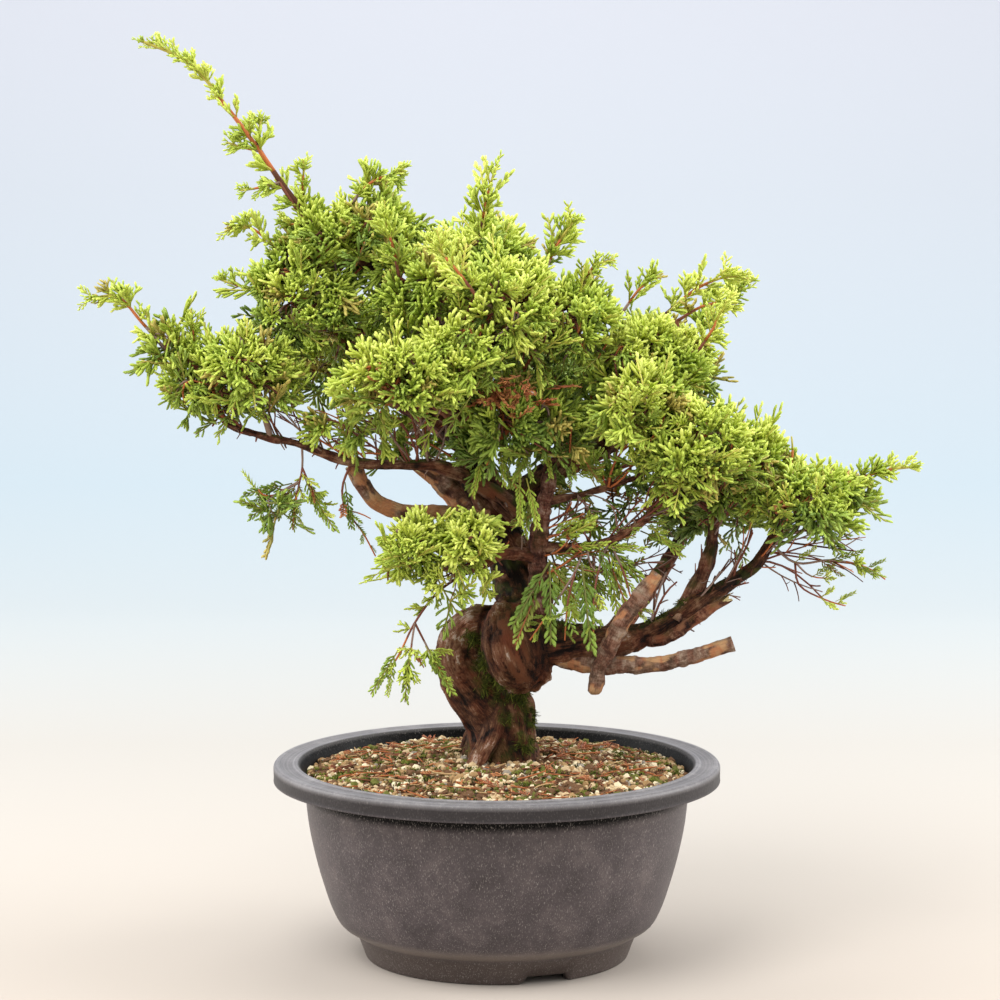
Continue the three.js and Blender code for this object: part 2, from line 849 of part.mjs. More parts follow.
const up = new THREE.Vector3(0, 0, 1);

function jitter(random, amount) {
  return new THREE.Vector3(random() - 0.5, random() - 0.5, random() - 0.5).multiplyScalar(2 * amount);
}

// Where a lobe's sprays stand: directions spread evenly by the golden angle, fewer of them underneath.
function spreadDirections(count, turn) {
  const golden = Math.PI * (3 - Math.sqrt(5));
  const directions = [];
  for (let i = 0; i < count; i++) {
    const height = 1 - (1.72 * (i + 0.5)) / count;
    const round = Math.sqrt(1 - height * height);
    const angle = i * golden + turn;
    directions.push(new THREE.Vector3(round * Math.cos(angle), round * Math.sin(angle), height));
  }
  return directions;
}

function lobeSprayCount(lobe) {
  const [a, b, c] = lobe.size;
  return Math.round((4 * Math.PI * (a * b + b * c + c * a)) / 3 / AREA_PER_SPRAY);
}

// The main twig of a lobe runs on in the stem's direction, from where it enters the lobe to its far side.
function lobeAxis(lobe, from) {
  const middle = new THREE.Vector3(...lobe.at);
  const direction = middle.clone().sub(from).normalize();
  const reach = 1 / direction.clone().divide(new THREE.Vector3(...lobe.size)).length();
  const back = Math.min(0.6 * reach, 0.7 * from.distanceTo(middle));
  const entry = middle.clone().addScaledVector(direction, -back);
  const exit = middle.clone().addScaledVector(direction, 0.6 * reach);
  return { entry, exit, direction, length: entry.distanceTo(exit) };
}

// The sprays of one lobe, each with the twig that carries it. In a dense lobe they stand on the core; in an
// open one side twigs lead to them from the lobe's main twig, each with a second spray part way along.
function lobePieces(lobe, axis, random) {
  const pieces = [];
  const middle = new THREE.Vector3(...lobe.at);
  const size = new THREE.Vector3(...lobe.size);
  const count = Math.round(lobeSprayCount(lobe) * (lobe.core > 0 ? 1 : OPEN_TWIG_SHARE));
  spreadDirections(count, 2 * Math.PI * random()).forEach((direction) => {
    const reach = 0.93 + 0.12 * random();
    const tip = direction.clone().multiply(size).multiplyScalar(reach).add(middle);
    const heading = direction.clone().multiply(size).normalize();
    heading.addScaledVector(up, 0.3).add(jitter(random, 0.25)).normalize();
    const side = jitter(random, 1).normalize();
    const length = SPRAY_LENGTH * (0.85 + 0.3 * random());
    const width = SPRAY_WIDTH * (0.85 + 0.3 * random());
    if (lobe.core > 0) {
      const depth = reach - 0.86 * lobe.core;
      const inner = direction.clone().multiply(size).multiplyScalar(reach - depth).add(middle);
      const span = tip.distanceTo(inner);
      heading.copy(tip).sub(inner).normalize();
      pieces.push({ sprays: [{ root: inner, direction: heading, side, length: span, width }] });
      return;
    }
    const root = tip.clone().addScaledVector(heading, -0.8 * length);
    const share = (root.clone().sub(axis.entry).dot(axis.direction) - 8) / axis.length;
    const foot = axis.entry.clone().lerp(axis.exit, THREE.MathUtils.clamp(share, 0.04, 0.96));
    const twigEnd = root.clone().addScaledVector(heading, 4);
    const twig = { points: [foot.toArray(), twigEnd.toArray()], thick: 1.1, thin: 0.8 };
    const low = foot.clone().lerp(root, 0.55);
    const branch = heading.clone().add(jitter(random, 0.9)).normalize();
    const lowSpray = { root: low, direction: branch, side, length: 0.75 * length, width: 0.8 * width };
    pieces.push({ twig, sprays: [{ root, direction: heading, side, length: 0.8 * length, width }, lowSpray] });
  });
  return pieces;
}

// The sprays along a shoot: alternately left and right of it, smaller towards its tip, and one at the tip.
function shootPieces(route, random) {
  const curve = new THREE.CatmullRomCurve3(route.map((p) => new THREE.Vector3(...p)), false, "centripetal");
  const length = curve.getLength();
  const count = Math.max(2, Math.round(length / SHOOT_SPRAY_SPACING));
  const pieces = [];
  for (let i = 1; i < count; i++) {
    const share = i / count;
    const root = curve.getPointAt(share);
    const along = curve.getTangentAt(share);
    const across = new THREE.Vector3().crossVectors(along, new THREE.Vector3(0, 1, 0)).normalize();
    const outward = across.multiplyScalar(i % 2 ? 1 : -1).add(jitter(random, 0.45));
    const direction = along.clone().multiplyScalar(1.1).add(outward).normalize();
    const side = new THREE.Vector3(0, 1, 0).add(jitter(random, 0.5)).normalize();
    const size = 1 - 0.35 * share;
    const spray = { root, direction, side, length: 0.7 * size * SPRAY_LENGTH, width: 0.5 * size * SPRAY_WIDTH };
    pieces.push({ sprays: [spray] });
  }
  const end = curve.getPointAt(1);
  const heading = curve.getTangentAt(1);
  const tipLength = 0.55 * SPRAY_LENGTH;
  const tipRoot = end.clone().addScaledVector(heading, -0.8 * tipLength);
  const tipSpray = { root: tipRoot, direction: heading, side: new THREE.Vector3(0, 1, 0.2) };
  pieces.push({ sprays: [{ ...tipSpray, length: tipLength, width: 0.5 * SPRAY_WIDTH }] });
  return pieces;
}

// The stems of a mass: one from the wood into each lobe in turn, and the bare shoots with their roots.
function massStems(mass) {
  const lobes = mass.lobes ?? [];
  const axes = [];
  const twigs = [];
  let from = new THREE.Vector3(...mass.start);
  lobes.forEach((lobe) => {
    const axis = lobeAxis(lobe, from);
    const middle = axis.entry.clone().lerp(axis.exit, 0.5);
    const end = lobe.core > 0 ? middle : axis.exit;
    twigs.push({ points: [from.toArray(), axis.entry.toArray(), end.toArray()], thick: 2, thin: 1.3 });
    axes.push(axis);
    from = middle;
  });
  (mass.shoots ?? []).forEach((route) => {
    twigs.push({ points: route, thick: 1.3, thin: 0.7 });
    const first = new THREE.Vector3(...route[0]);
    const hubs = lobes.map((lobe) => new THREE.Vector3(...lobe.at));
    hubs.sort((a, b) => a.distanceTo(first) - b.distanceTo(first));
    if (hubs.length) twigs.push({ points: [hubs[0].toArray(), route[0]], thick: 1.5, thin: 1.35 });
  });
  return { axes, twigs };
}

// A mass: its stems and cores, with every twig and spray that stays in its space and clear of all else.
function massSolid(mass, bones, axes, others, obstacles, random) {
  const lobes = mass.lobes ?? [];
  const pieces = [];
  lobes.forEach((lobe, i) => pieces.push(...lobePieces(lobe, axes[i], random)));
  (mass.shoots ?? []).forEach((route) => pieces.push(...shootPieces(route, random)));
  const kept = [bones];
  const keptSprays = [];
  const isClear = (solid) => [...obstacles, ...keptSprays].every((obstacle) => !touches(solid, obstacle));
  const isOwned = (spray) => {
    const tip = spray.root.clone().addScaledVector(spray.direction, spray.length);
    return ownsPoint(lobes, others, tip, 0.95);
  };
  pieces.forEach(({ twig, sprays }) => {
    if (twig && !isClear(twigSolid(twig, GAP))) return;
    if (twig) kept.push(twigSolid(twig));
    sprays.forEach((spray) => {
      if (isOwned(spray) && isClear(spraySolid(spray, GAP))) keptSprays.push(spraySolid(spray));
    });
  });
  kept.push(...keptSprays);
  return largestBody(wasm.Manifold.union(kept));
}

const tree = new THREE.Group();

function addMesh(name, solid, colour, roughness) {
  const material = new THREE.MeshStandardMaterial({ color: colour, roughness, metalness: 0, flatShading: true });
  const mesh = new THREE.Mesh(geometryOf(solid), material);
  mesh.name = name;
  tree.add(mesh);
}

const pot = potSolid();
const soil = soilSolid();
const trunk = trunkSolid();
addMesh("pot", pot, COLOURS.pot, 0.6);
addMesh("soil", soil, COLOURS.soil, 0.95);
addMesh("trunk", trunk, COLOURS.bark, 0.9);

const wood = [trunk];
const clearance = [trunkPieces(GAP)];
for (const [name, route] of Object.entries(LIMBS)) {
  const limb = largestBody(cutBy(limbSolid(route, BOUGH_SIDES), clearance));
  const dead = DEAD_LIMBS.includes(name);
  const barkColour = name === "leader_cut" ? COLOURS.redBark : COLOURS.bark;
  addMesh(name, limb, dead ? COLOURS.deadwood : barkColour, 0.88);
  wood.push(limb);
  clearance.push(limbSolid(route, BOUGH_SIDES, GAP));
}

const random = seededRandom(SEED);
const massNames = Object.keys(MASSES);
const lobesBeside = (name) =>
  massNames.filter((other) => other !== name).flatMap((other) => MASSES[other].lobes ?? []);
const stems = {};
for (const name of massNames) stems[name] = massStems(MASSES[name]);

// The bones of a mass are its stems and cores. A core makes way for the wood, for the stems of the other
// masses and for the cores before it.
const bones = {};
const coreClearance = [];
for (const name of massNames) {
  const otherStems = massNames.filter((other) => other !== name).flatMap((other) => stems[other].twigs);
  const stemClearance = otherStems.map((twig) => twigSolid(twig, GAP));
  const made = (MASSES[name].lobes ?? [])
    .filter((lobe) => lobe.core > 0)
    .map((lobe) => coreSolids(lobe, lobesBeside(name), random));
  const cores = made.map(({ solid }) => cutBy(solid, [...stemClearance, ...coreClearance]));
  const twigs = stems[name].twigs.map((twig) => twigSolid(twig));
  bones[name] = largestBody(cutBy(wasm.Manifold.union([...twigs, ...cores]), clearance));
  coreClearance.push(...made.map((core) => core.clearance));
}

const finished = [];
for (const name of massNames) {
  const waiting = massNames.slice(massNames.indexOf(name) + 1).map((other) => bones[other]);
  const obstacles = [pot, soil, ...wood, ...finished, ...waiting];
  const { axes } = stems[name];
  const solid = massSolid(MASSES[name], bones[name], axes, lobesBeside(name), obstacles, random);
  finished.push(solid);
  addMesh("foliage_" + name, solid, COLOURS[MASSES[name].colour], 0.75);
}

export default tree;
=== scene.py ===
# A shimpaku juniper, trained as a small informal bonsai, in a round plastic training pot.
# Sizes in the tables are millimetres on the real tree. Meshes are in metres, +Z up, with the origin in the
# middle of the pot's underside and the front of the tree towards -Y.
import math

import bmesh
import bpy
import numpy as np
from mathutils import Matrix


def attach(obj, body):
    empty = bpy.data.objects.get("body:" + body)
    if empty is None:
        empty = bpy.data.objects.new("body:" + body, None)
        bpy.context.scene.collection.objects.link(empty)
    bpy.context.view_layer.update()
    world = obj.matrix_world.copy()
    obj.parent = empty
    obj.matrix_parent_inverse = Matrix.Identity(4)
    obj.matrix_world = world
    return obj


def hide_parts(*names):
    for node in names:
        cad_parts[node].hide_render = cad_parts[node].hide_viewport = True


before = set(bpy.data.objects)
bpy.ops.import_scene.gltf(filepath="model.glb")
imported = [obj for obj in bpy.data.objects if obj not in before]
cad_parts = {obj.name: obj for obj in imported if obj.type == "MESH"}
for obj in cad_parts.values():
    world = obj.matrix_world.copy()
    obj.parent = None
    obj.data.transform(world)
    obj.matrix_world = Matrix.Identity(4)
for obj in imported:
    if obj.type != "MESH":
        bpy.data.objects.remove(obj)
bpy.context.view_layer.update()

MM = 0.001
bpy.context.scene.view_settings.view_transform = "Standard"


# The pot is a deep bowl of charcoal polypropylene, injection moulded with a heavy flat rim. It stands on a
# tapering foot ring with three notches and has five drain holes. Years outdoors have greyed its rim and
# scuffed its wall with fine pale scratches. Its finish also carries painted light: the rim's top is partly
# painted paler by light from above, and painted shade darkens the rim's outer side and the inner wall.
POT_PROFILE = [
    # [radius, height, length of the rounded corner], from the middle of the underside round to the floor
    [0, 0, 0], [13, 0, 0.6], [14, 6, 1], [69, 6, 1.5], [70, 0, 0.8], [73.5, 0, 1.4], [78.8, 14.2, 1.2],
    [82.2, 16.2, 1.6], [88.5, 19.8, 4], [93.6, 30, 8], [100.8, 53.4, 9], [105.5, 75, 9], [108, 100.4, 1.6],
    [123.6, 100.4, 0.3], [123.9, 99.9, 0.2], [125, 100.1, 0.3], [124.8, 102, 0.9], [125, 108.4, 1.2],
    [123.6, 110, 1.2], [121.6, 109.9, 0.8], [120.2, 109.3, 0.8], [114.8, 109.1, 1], [113.6, 110, 0.8],
    [111.2, 110, 1], [110, 108.4, 1.2], [105.4, 98, 3], [99, 59, 6], [88, 26, 6], [78, 19, 3], [75, 9, 3],
    [0, 9, 0],
]
RING_INNER_RADIUS, RING_OUTER_RADIUS = POT_PROFILE[3][0], POT_PROFILE[5][0]
POT_SEGMENTS = 224
CORNER_STEPS = 5
NOTCH_HALF_WIDTH = 12.3
NOTCH_HEIGHT = 4.6
NOTCH_SLOPE = 1.5
FIRST_NOTCH_DEGREES = -68.5
DRAIN_HOLES = 5
DRAIN_RADIUS = 6.5
DRAIN_CIRCLE = 44
DRILL_SIDES = 40


def rounded(profile):
    """Each corner of the profile becomes a short curve: (1-t)^2 a + 2t(1-t) corner + t^2 b, where a and b
    lie on the two sides that meet there, as far from the corner as its third number says."""
    spots = np.array([[radius, height] for radius, height, _ in profile], float)
    curves = [spots[:1]]
    t = np.linspace(0, 1, CORNER_STEPS)[:, None]
    for before, corner, after, row in zip(spots, spots[1:], spots[2:], profile[1:]):
        back = before - corner
        ahead = after - corner
        a = corner + back / np.linalg.norm(back) * min(row[2], 0.45 * np.linalg.norm(back))
        b = corner + ahead / np.linalg.norm(ahead) * min(row[2], 0.45 * np.linalg.norm(ahead))
        curves.append((1 - t) ** 2 * a + 2 * t * (1 - t) * corner + t**2 * b)
    curves.append(spots[-1:])
    return np.concatenate(curves)


def ring_faces(rings, sides):
    """Quads between neighbouring rings of points, and fans that close both ends. The grid's points come
    first, ring after ring, then the middle of the first end and the middle of the last one."""
    start = np.arange(rings * sides).reshape(rings, sides)
    turned_on = np.roll(start, -1, axis=1)
    quads = np.stack([start[:-1], turned_on[:-1], turned_on[1:], start[1:]], axis=-1).reshape(-1, 4)
    first = np.full(sides, rings * sides)
    near_fan = np.stack([first, turned_on[0], start[0]], axis=-1)
    far_fan = np.stack([first + 1, start[-1], turned_on[-1]], axis=-1)
    return quads, np.concatenate([near_fan, far_fan])


def copied(faces, corners, count):
    """The faces of a row of like things, each of which has its own corners."""
    return (faces[None] + corners * np.arange(count)[:, None, None]).reshape(-1, faces.shape[1])


def round_axis(radius, angle, height):
    """Points round the z axis: x = radius cos(angle), y = radius sin(angle)."""
    return np.stack(np.broadcast_arrays(radius * np.cos(angle), radius * np.sin(angle), height), axis=-1)


def turned(profile, segments):
    """The profile turned round the z axis, ring after ring, and then its two ends."""
    angle = 2 * np.pi * np.arange(segments) / segments
    grid = round_axis(profile[1:-1, :1], angle, profile[1:-1, 1:])
    ends = [[0, 0, profile[0, 1]], [0, 0, profile[-1, 1]]]
    return np.concatenate([grid.reshape(-1, 3), ends]), ring_faces(len(grid), segments)


def make_mesh(name, points, faces, materials, material_of=None, smooth=True, attributes=None):
    """A mesh object from arrays: points in mm, a tuple of face arrays, the material number of each face in
    the same order, and named values for each point, one or three wide."""
    mesh = bpy.data.meshes.new(name)
    rows = [row for block in faces for row in block.tolist()]
    mesh.from_pydata((np.asarray(points) * MM).tolist(), [], rows)
    for material in materials:
        mesh.materials.append(material)
    if material_of is not None:
        mesh.polygons.foreach_set("material_index", np.asarray(material_of, np.int32))
    mesh.polygons.foreach_set("use_smooth", np.full(len(rows), smooth))
    for key, values in (attributes or {}).items():
        kind, field = ("FLOAT_VECTOR", "vector") if values.ndim == 2 else ("FLOAT", "value")
        layer = mesh.attributes.new(key, kind, "POINT")
        layer.data.foreach_set(field, values.astype(np.float32).ravel())
    mesh.update()
    piece = bpy.data.objects.new(name, mesh)
    bpy.context.scene.collection.objects.link(piece)
    return piece


def linear(code):
    """sRGB hex to linear: c / 12.92 up to 0.04045, otherwise ((c + 0.055) / 1.055) to the power 2.4."""
    channels = [int(code[i : i + 2], 16) / 255 for i in (1, 3, 5)]
    return [c / 12.92 if c <= 0.04045 else ((c + 0.055) / 1.055) ** 2.4 for c in channels] + [1.0]


def add_node(material, kind, settings, sockets):
    """Adds one node. Settings are its own properties, with "stops" for a ramp's places and colours. Sockets
    gives each input a plain value or the output that feeds it."""
    node = material.node_tree.nodes.new(kind)
    for key, value in settings.items():
        if key != "stops":
            setattr(node, key, value)
            continue
        for place, code in value[1:-1]:
            node.color_ramp.elements.new(place)
        for element, (place, code) in zip(node.color_ramp.elements, value):
            element.position = place
            element.color = linear(code)
    for key, value in sockets.items():
        if isinstance(value, bpy.types.NodeSocket):
            material.node_tree.links.new(value, node.inputs[key])
        else:
            node.inputs[key].default_value = value
    return node


def plain_finish(name, code, roughness, specular=0.4):
    """A finish of one colour: all that small things need, and where the others start."""
    material = bpy.data.materials.new(name)
    material.use_nodes = True
    shader = material.node_tree.nodes["Principled BSDF"]
    shader.inputs["Base Color"].default_value = linear(code)
    shader.inputs["Roughness"].default_value = roughness
    shader.inputs["Specular IOR Level"].default_value = specular
    material.diffuse_color = linear(code)
    return material


def weathered_and_shade_painted_polypropylene():
    """Moulded polypropylene gone matt outdoors: charcoal with a warm cast, dusty brown at the foot and on the
    ledge above it, with fine rings on top of the rim and pale specks and short scratches about 0.6 mm wide.
    The rim's top is paler, partly greyed and partly painted light from above. Painted shade makes the rim's
    outer side and the inner wall above the soil nearly black, and the inner wall's shine is turned down too.
    Heights and distances from the axis are in metres."""
    material = plain_finish("weathered_and_shade_painted_charcoal_polypropylene", "#4c474a", 0.55)
    shader = material.node_tree.nodes["Principled BSDF"]
    place = add_node(material, "ShaderNodeTexCoord", {}, {}).outputs["Object"]
    height = add_node(material, "ShaderNodeSeparateXYZ", {}, {"Vector": place}).outputs["Z"]
    flat = {0: place, 1: (1.0, 1.0, 0.0)}
    plan = add_node(material, "ShaderNodeVectorMath", {"operation": "MULTIPLY"}, flat).outputs["Vector"]
    away = add_node(material, "ShaderNodeVectorMath", {"operation": "LENGTH"}, {0: plan}).outputs["Value"]
    speck_size = {"Rotation": (0.3, 0.25, 0.0), "Scale": (1 / 0.00055, 1 / 0.00055, 1 / 0.0014)}
    tilted = add_node(material, "ShaderNodeMapping", {}, {"Vector": place, **speck_size}).outputs["Vector"]
    cloud, rings, specks, grain = (
        add_node(material, "ShaderNodeTexNoise", settings, sockets).outputs["Fac"]
        for settings, sockets in (
            ({}, {"Vector": place, "Scale": 1 / 0.022, "Detail": 12.0, "Roughness": 0.78}),
            ({"noise_dimensions": "1D"}, {"W": away, "Scale": 1 / 0.0011, "Detail": 2.0}),
            ({}, {"Vector": tilted, "Scale": 1.0, "Detail": 1.5, "Distortion": 0.6}),
            ({}, {"Vector": place, "Scale": 1 / 0.0016, "Detail": 3.0}),
        )
    )
    shares = {}
    for part, value, start, full, low, high, ease in (
        # The top of the rim, whose paler colour is partly greyed and partly painted light from above.
        ("rim_top", height, 0.106, 0.1098, 0.0, 1.0, "LINEAR"),
        ("foot", height, 0.0165, 0.012, 0.0, 0.7, "LINEAR"),
        ("whole_rim", height, 0.0995, 0.1015, 0.0, 0.85, "LINEAR"),
        ("inside", away, 0.1118, 0.1108, 0.0, 1.0, "LINEAR"),
        ("high_up", height, 0.09, 0.094, 0.0, 1.0, "LINEAR"),
        ("rings", rings, 0.4, 0.7, 0.0, 0.4, "LINEAR"),
        ("ledge", height, 0.023, 0.0175, 0.0, 0.5, "SMOOTHSTEP"),
        ("ledge_end", height, 0.0135, 0.0165, 0.0, 1.0, "SMOOTHSTEP"),
        ("specks", specks, 0.57, 0.8, 0.0, 0.6, "LINEAR"),
        ("roughness", cloud, 0.3, 0.7, 0.38, 0.58, "LINEAR"),
    ):
        sockets = {"Value": value, "From Min": start, "From Max": full, "To Min": low, "To Max": high}
        ranged = add_node(material, "ShaderNodeMapRange", {"interpolation_type": ease}, sockets)
        shares[part] = ranged.outputs["Result"]
    for part, operation, *values in (
        # The rim's outer side below its top: painted shade.
        ("rim_edge", "MULTIPLY_ADD", "rim_top", -0.85, "whole_rim"),
        # The pot's inner wall above the soil: painted shade.
        ("inner_wall", "MULTIPLY", "inside", "high_up"),
        ("rings", "MULTIPLY", "rings", "rim_top"),
        ("ledge", "MULTIPLY", "ledge", "ledge_end"),
        ("off_edge", "MULTIPLY_ADD", "rim_edge", -0.9, 1.0),
        ("specks", "MULTIPLY", "specks", "off_edge"),
    ):
        sockets = {index: shares.get(value, value) for index, value in enumerate(values)}
        shares[part] = add_node(material, "ShaderNodeMath", {"operation": operation}, sockets).outputs[0]

    # The first ramp is the body's colour; the second, for the rim's top, is greyed and partly painted light.
    colour, greyed_and_lit_rim = (
        add_node(material, "ShaderNodeValToRGB", {"stops": stops}, {"Fac": cloud}).outputs["Color"]
        for stops in (
            [(0.3, "#332c2e"), (0.5, "#494143"), (0.7, "#645a59")],
            [(0.32, "#4f4c4e"), (0.5, "#6b686a"), (0.68, "#8f8c8d")],
        )
    )
    for part, over in (
        ("rim_top", greyed_and_lit_rim),
        ("foot", linear("#4a3e37")),
        # Painted shade: the rim's outer side nearly black.
        ("rim_edge", linear("#1a1617")),
        # Painted shade: the inner wall above the soil nearly black.
        ("inner_wall", linear("#0c0b0b")),
        ("rings", linear("#a5a1a0")),
        ("ledge", linear("#8c8076")),
        ("specks", linear("#aaa29c")),
    ):
        sockets = {0: shares[part], 6: colour, 7: over}
        colour = add_node(material, "ShaderNodeMix", {"data_type": "RGBA"}, sockets).outputs[2]
    # The inner wall's shine is turned down along with its painted shade.
    shine = {"Value": shares["inner_wall"], "From Min": 0.0, "From Max": 1.0, "To Min": 0.4, "To Max": 0.08}
    bump = {"Strength": 0.35, "Distance": 0.0004, "Height": grain}
    for key, output in (
        ("Base Color", colour),
        ("Roughness", shares["roughness"]),
        ("Specular IOR Level", add_node(material, "ShaderNodeMapRange", {}, shine).outputs["Result"]),
        ("Normal", add_node(material, "ShaderNodeBump", {}, bump).outputs["Normal"]),
    ):
        material.node_tree.links.new(output, shader.inputs[key])
    return material


pot_points, pot_faces = turned(rounded(POT_PROFILE), POT_SEGMENTS)
pot_angle = np.arctan2(pot_points[:, 1], pot_points[:, 0])
notch_angle = math.radians(FIRST_NOTCH_DEGREES)
from_notch = np.mod(pot_angle - notch_angle + math.pi / 3, 2 * math.pi / 3) - math.pi / 3
beside_notch = np.abs(from_notch) * RING_OUTER_RADIUS - NOTCH_HALF_WIDTH
on_ring = np.hypot(pot_points[:, 0], pot_points[:, 1]) > RING_INNER_RADIUS - 0.5
notch_depth = np.clip(1 - beside_notch / NOTCH_SLOPE, 0, 1) * NOTCH_HEIGHT * on_ring
pot_points[:, 2] = np.maximum(pot_points[:, 2], notch_depth)
pot = make_mesh("training_pot", pot_points, pot_faces, [weathered_and_shade_painted_polypropylene()])
drill_rows = np.array([[0, -2], [DRAIN_RADIUS, -2], [DRAIN_RADIUS, 12], [0, 12]], float)
drill_points, drill_faces = turned(drill_rows, DRILL_SIDES)
for hole in range(DRAIN_HOLES):
    hole_angle = 2 * math.pi * hole / DRAIN_HOLES
    hole_middle = [DRAIN_CIRCLE * math.cos(hole_angle), DRAIN_CIRCLE * math.sin(hole_angle), 0]
    drill = make_mesh("drill", drill_points + hole_middle, drill_faces, [])
    cut = pot.modifiers.new("drain_hole", "BOOLEAN")
    cut.operation = "DIFFERENCE"
    cut.object = drill
    depsgraph = bpy.context.evaluated_depsgraph_get()
    drilled = bpy.data.meshes.new_from_object(pot.evaluated_get(depsgraph))
    pot.modifiers.clear()
    pot.data = drilled
    bpy.data.objects.remove(drill)
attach(pot, "root")
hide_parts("pot")


# The soil is an open bonsai mix: pumice and fired clay grains of 2 to 5 mm over darker crumbs, moist below
# and bleached on top, heaped a little towards the trunk. Here it is a bed with a rough top, and the loose
# grains of its top layer lie on it one by one.
GROUND = [[0, 110.4], [39, 110.4], [58, 108.3], [80, 105.8], [107, 103.6]]
BED_DROP = 1.6
GRAIN_COUNT = 5600
GRAIN_REACH = 105.6
MOSSY_GRAIN, BROWN_GRAIN = 5, 3
GRAIN_FINISHES = [
    ("cream_pumice", "#e0d0ae", 0.18),
    ("buff_pumice", "#c6ac85", 0.24),
    ("tan_clay_grain", "#a08058", 0.25),
    ("brown_clay_grain", "#6b4e36", 0.14),
    ("red_lava_grain", "#754431", 0.05),
    ("mossy_grain", "#65662f", 0.08),
    ("grey_grain", "#8f8577", 0.06),
]


def value_noise(points, seed):
    """Smooth noise from -1 to 1: a random value at each whole-number place, picked by a hash of its three
    coordinates, and blended between the eight round a point by 3t^2 - 2t^3."""
    low = np.floor(points).astype(np.int64)
    part = points - low
    part = part * part * (3 - 2 * part)
    table = np.random.default_rng(seed).uniform(-1, 1, 4096)
    total = np.zeros(points.shape[:-1])
    for corner in np.ndindex(2, 2, 2):
        cell = low + corner
        key = (cell[..., 0] * 73856093) ^ (cell[..., 1] * 19349663) ^ (cell[..., 2] * 83492791)
        weight = np.where(corner, part, 1 - part).prod(axis=-1)
        total += weight * table[key & 4095]
    return total


def ground_height(x, y):
    """Height of the soil in mm at a place in plan: straight lines between the heights in GROUND."""
    radii, heights = np.array(GROUND).T
    return np.interp(np.hypot(x, y), radii, heights)


def on_ground(x, y, lift):
    """Points on the soil, lifted a little."""
    return np.stack([x, y, ground_height(x, y) + lift], axis=-1)


def scattered(random, count, reach, inner=0.0):
    """Random places in plan, spread evenly over a disc: radius = reach sqrt(u), with u from inner to 1."""
    radius = reach * np.sqrt(random.uniform(inner, 1, count))
    angle = random.uniform(0, 2 * np.pi, count)
    return radius * np.cos(angle), radius * np.sin(angle)


def crumbly_soil():
    """Moist clay crumbs between the grains: dark brown, ochre in each crumb's middle and darkest in the
    hollows between crumbs, which is painted shade; dull and very rough.
    """
    material = plain_finish("moist_clay_crumbs_shaded_between", "#5a4431", 0.95, 0.15)
    shader = material.node_tree.nodes["Principled BSDF"]
    place = add_node(material, "ShaderNodeTexCoord", {}, {}).outputs["Object"]
    cells = {"Vector": place, "Scale": 1 / 0.003, "Randomness": 1.0}
    crumbs = add_node(material, "ShaderNodeTexVoronoi", {}, cells).outputs["Distance"]
    # Painted shade: each crumb is lighter in its middle and darkest at its edge, where the bump sinks.
    stops = [(0.0, "#8a6e4c"), (0.45, "#553f2e"), (1.0, "#2c2018")]
    tones = add_node(material, "ShaderNodeValToRGB", {"stops": stops}, {"Fac": crumbs})
    relief = {"Strength": 0.8, "Distance": 0.0015, "Height": crumbs}
    bump = add_node(material, "ShaderNodeBump", {"invert": True}, relief)
    material.node_tree.links.new(tones.outputs["Color"], shader.inputs["Base Color"])
    material.node_tree.links.new(bump.outputs["Normal"], shader.inputs["Normal"])
    return material


bed_radius = np.linspace(107, 2, 54)
bed_top = np.stack([bed_radius, ground_height(bed_radius, 0) - BED_DROP], axis=-1)
bed_wall = [[0, 9.4], [74.4, 9.4], [77.4, 19.4], [87.4, 26.4], [98.4, 59.4], [104.8, 98]]
bed_rows = np.concatenate([bed_wall, bed_top, [[0, GROUND[0][1] - BED_DROP]]])
bed_points, bed_faces = turned(bed_rows, 160)
on_top = (bed_points[:, 2] > 100) & (np.hypot(bed_points[:, 0], bed_points[:, 1]) < 106)
lumps = 0.9 * value_noise(bed_points / 5.5, 11) + 0.5 * value_noise(bed_points / 2.3, 12)
bed_points[:, 2] += on_top * lumps
soil_bed = make_mesh("soil_bed", bed_points, bed_faces, [crumbly_soil()])
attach(soil_bed, "root")
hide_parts("soil")

# One grain is an icosahedron: corners (0, +-1, +-1.618) and their rotations, each pulled in or out a little.
ICO_CORNERS = np.array(
    [[-1, 1.618, 0], [1, 1.618, 0], [-1, -1.618, 0], [1, -1.618, 0], [0, -1, 1.618], [0, 1, 1.618],
     [0, -1, -1.618], [0, 1, -1.618], [1.618, 0, -1], [1.618, 0, 1], [-1.618, 0, -1], [-1.618, 0, 1]]
) / 1.902
ICO_FACES = np.array(
    [[0, 11, 5], [0, 5, 1], [0, 1, 7], [0, 7, 10], [0, 10, 11], [1, 5, 9], [5, 11, 4], [11, 10, 2],
     [10, 7, 6], [7, 1, 8], [3, 9, 4], [3, 4, 2], [3, 2, 6], [3, 6, 8], [3, 8, 9], [4, 9, 5],
     [2, 4, 11], [6, 2, 10], [8, 6, 7], [9, 8, 1]]
)


def random_turns(count, random):
    """Rotation matrices from random unit quaternions."""
    w, x, y, z = (q := random.normal(size=(4, count))) / np.linalg.norm(q, axis=0)
    return np.stack(
        [
            np.stack([1 - 2 * (y * y + z * z), 2 * (x * y - w * z), 2 * (x * z + w * y)], axis=-1),
            np.stack([2 * (x * y + w * z), 1 - 2 * (x * x + z * z), 2 * (y * z - w * x)], axis=-1),
            np.stack([2 * (x * z - w * y), 2 * (y * z + w * x), 1 - 2 * (x * x + y * y)], axis=-1),
        ],
        axis=1,
    )


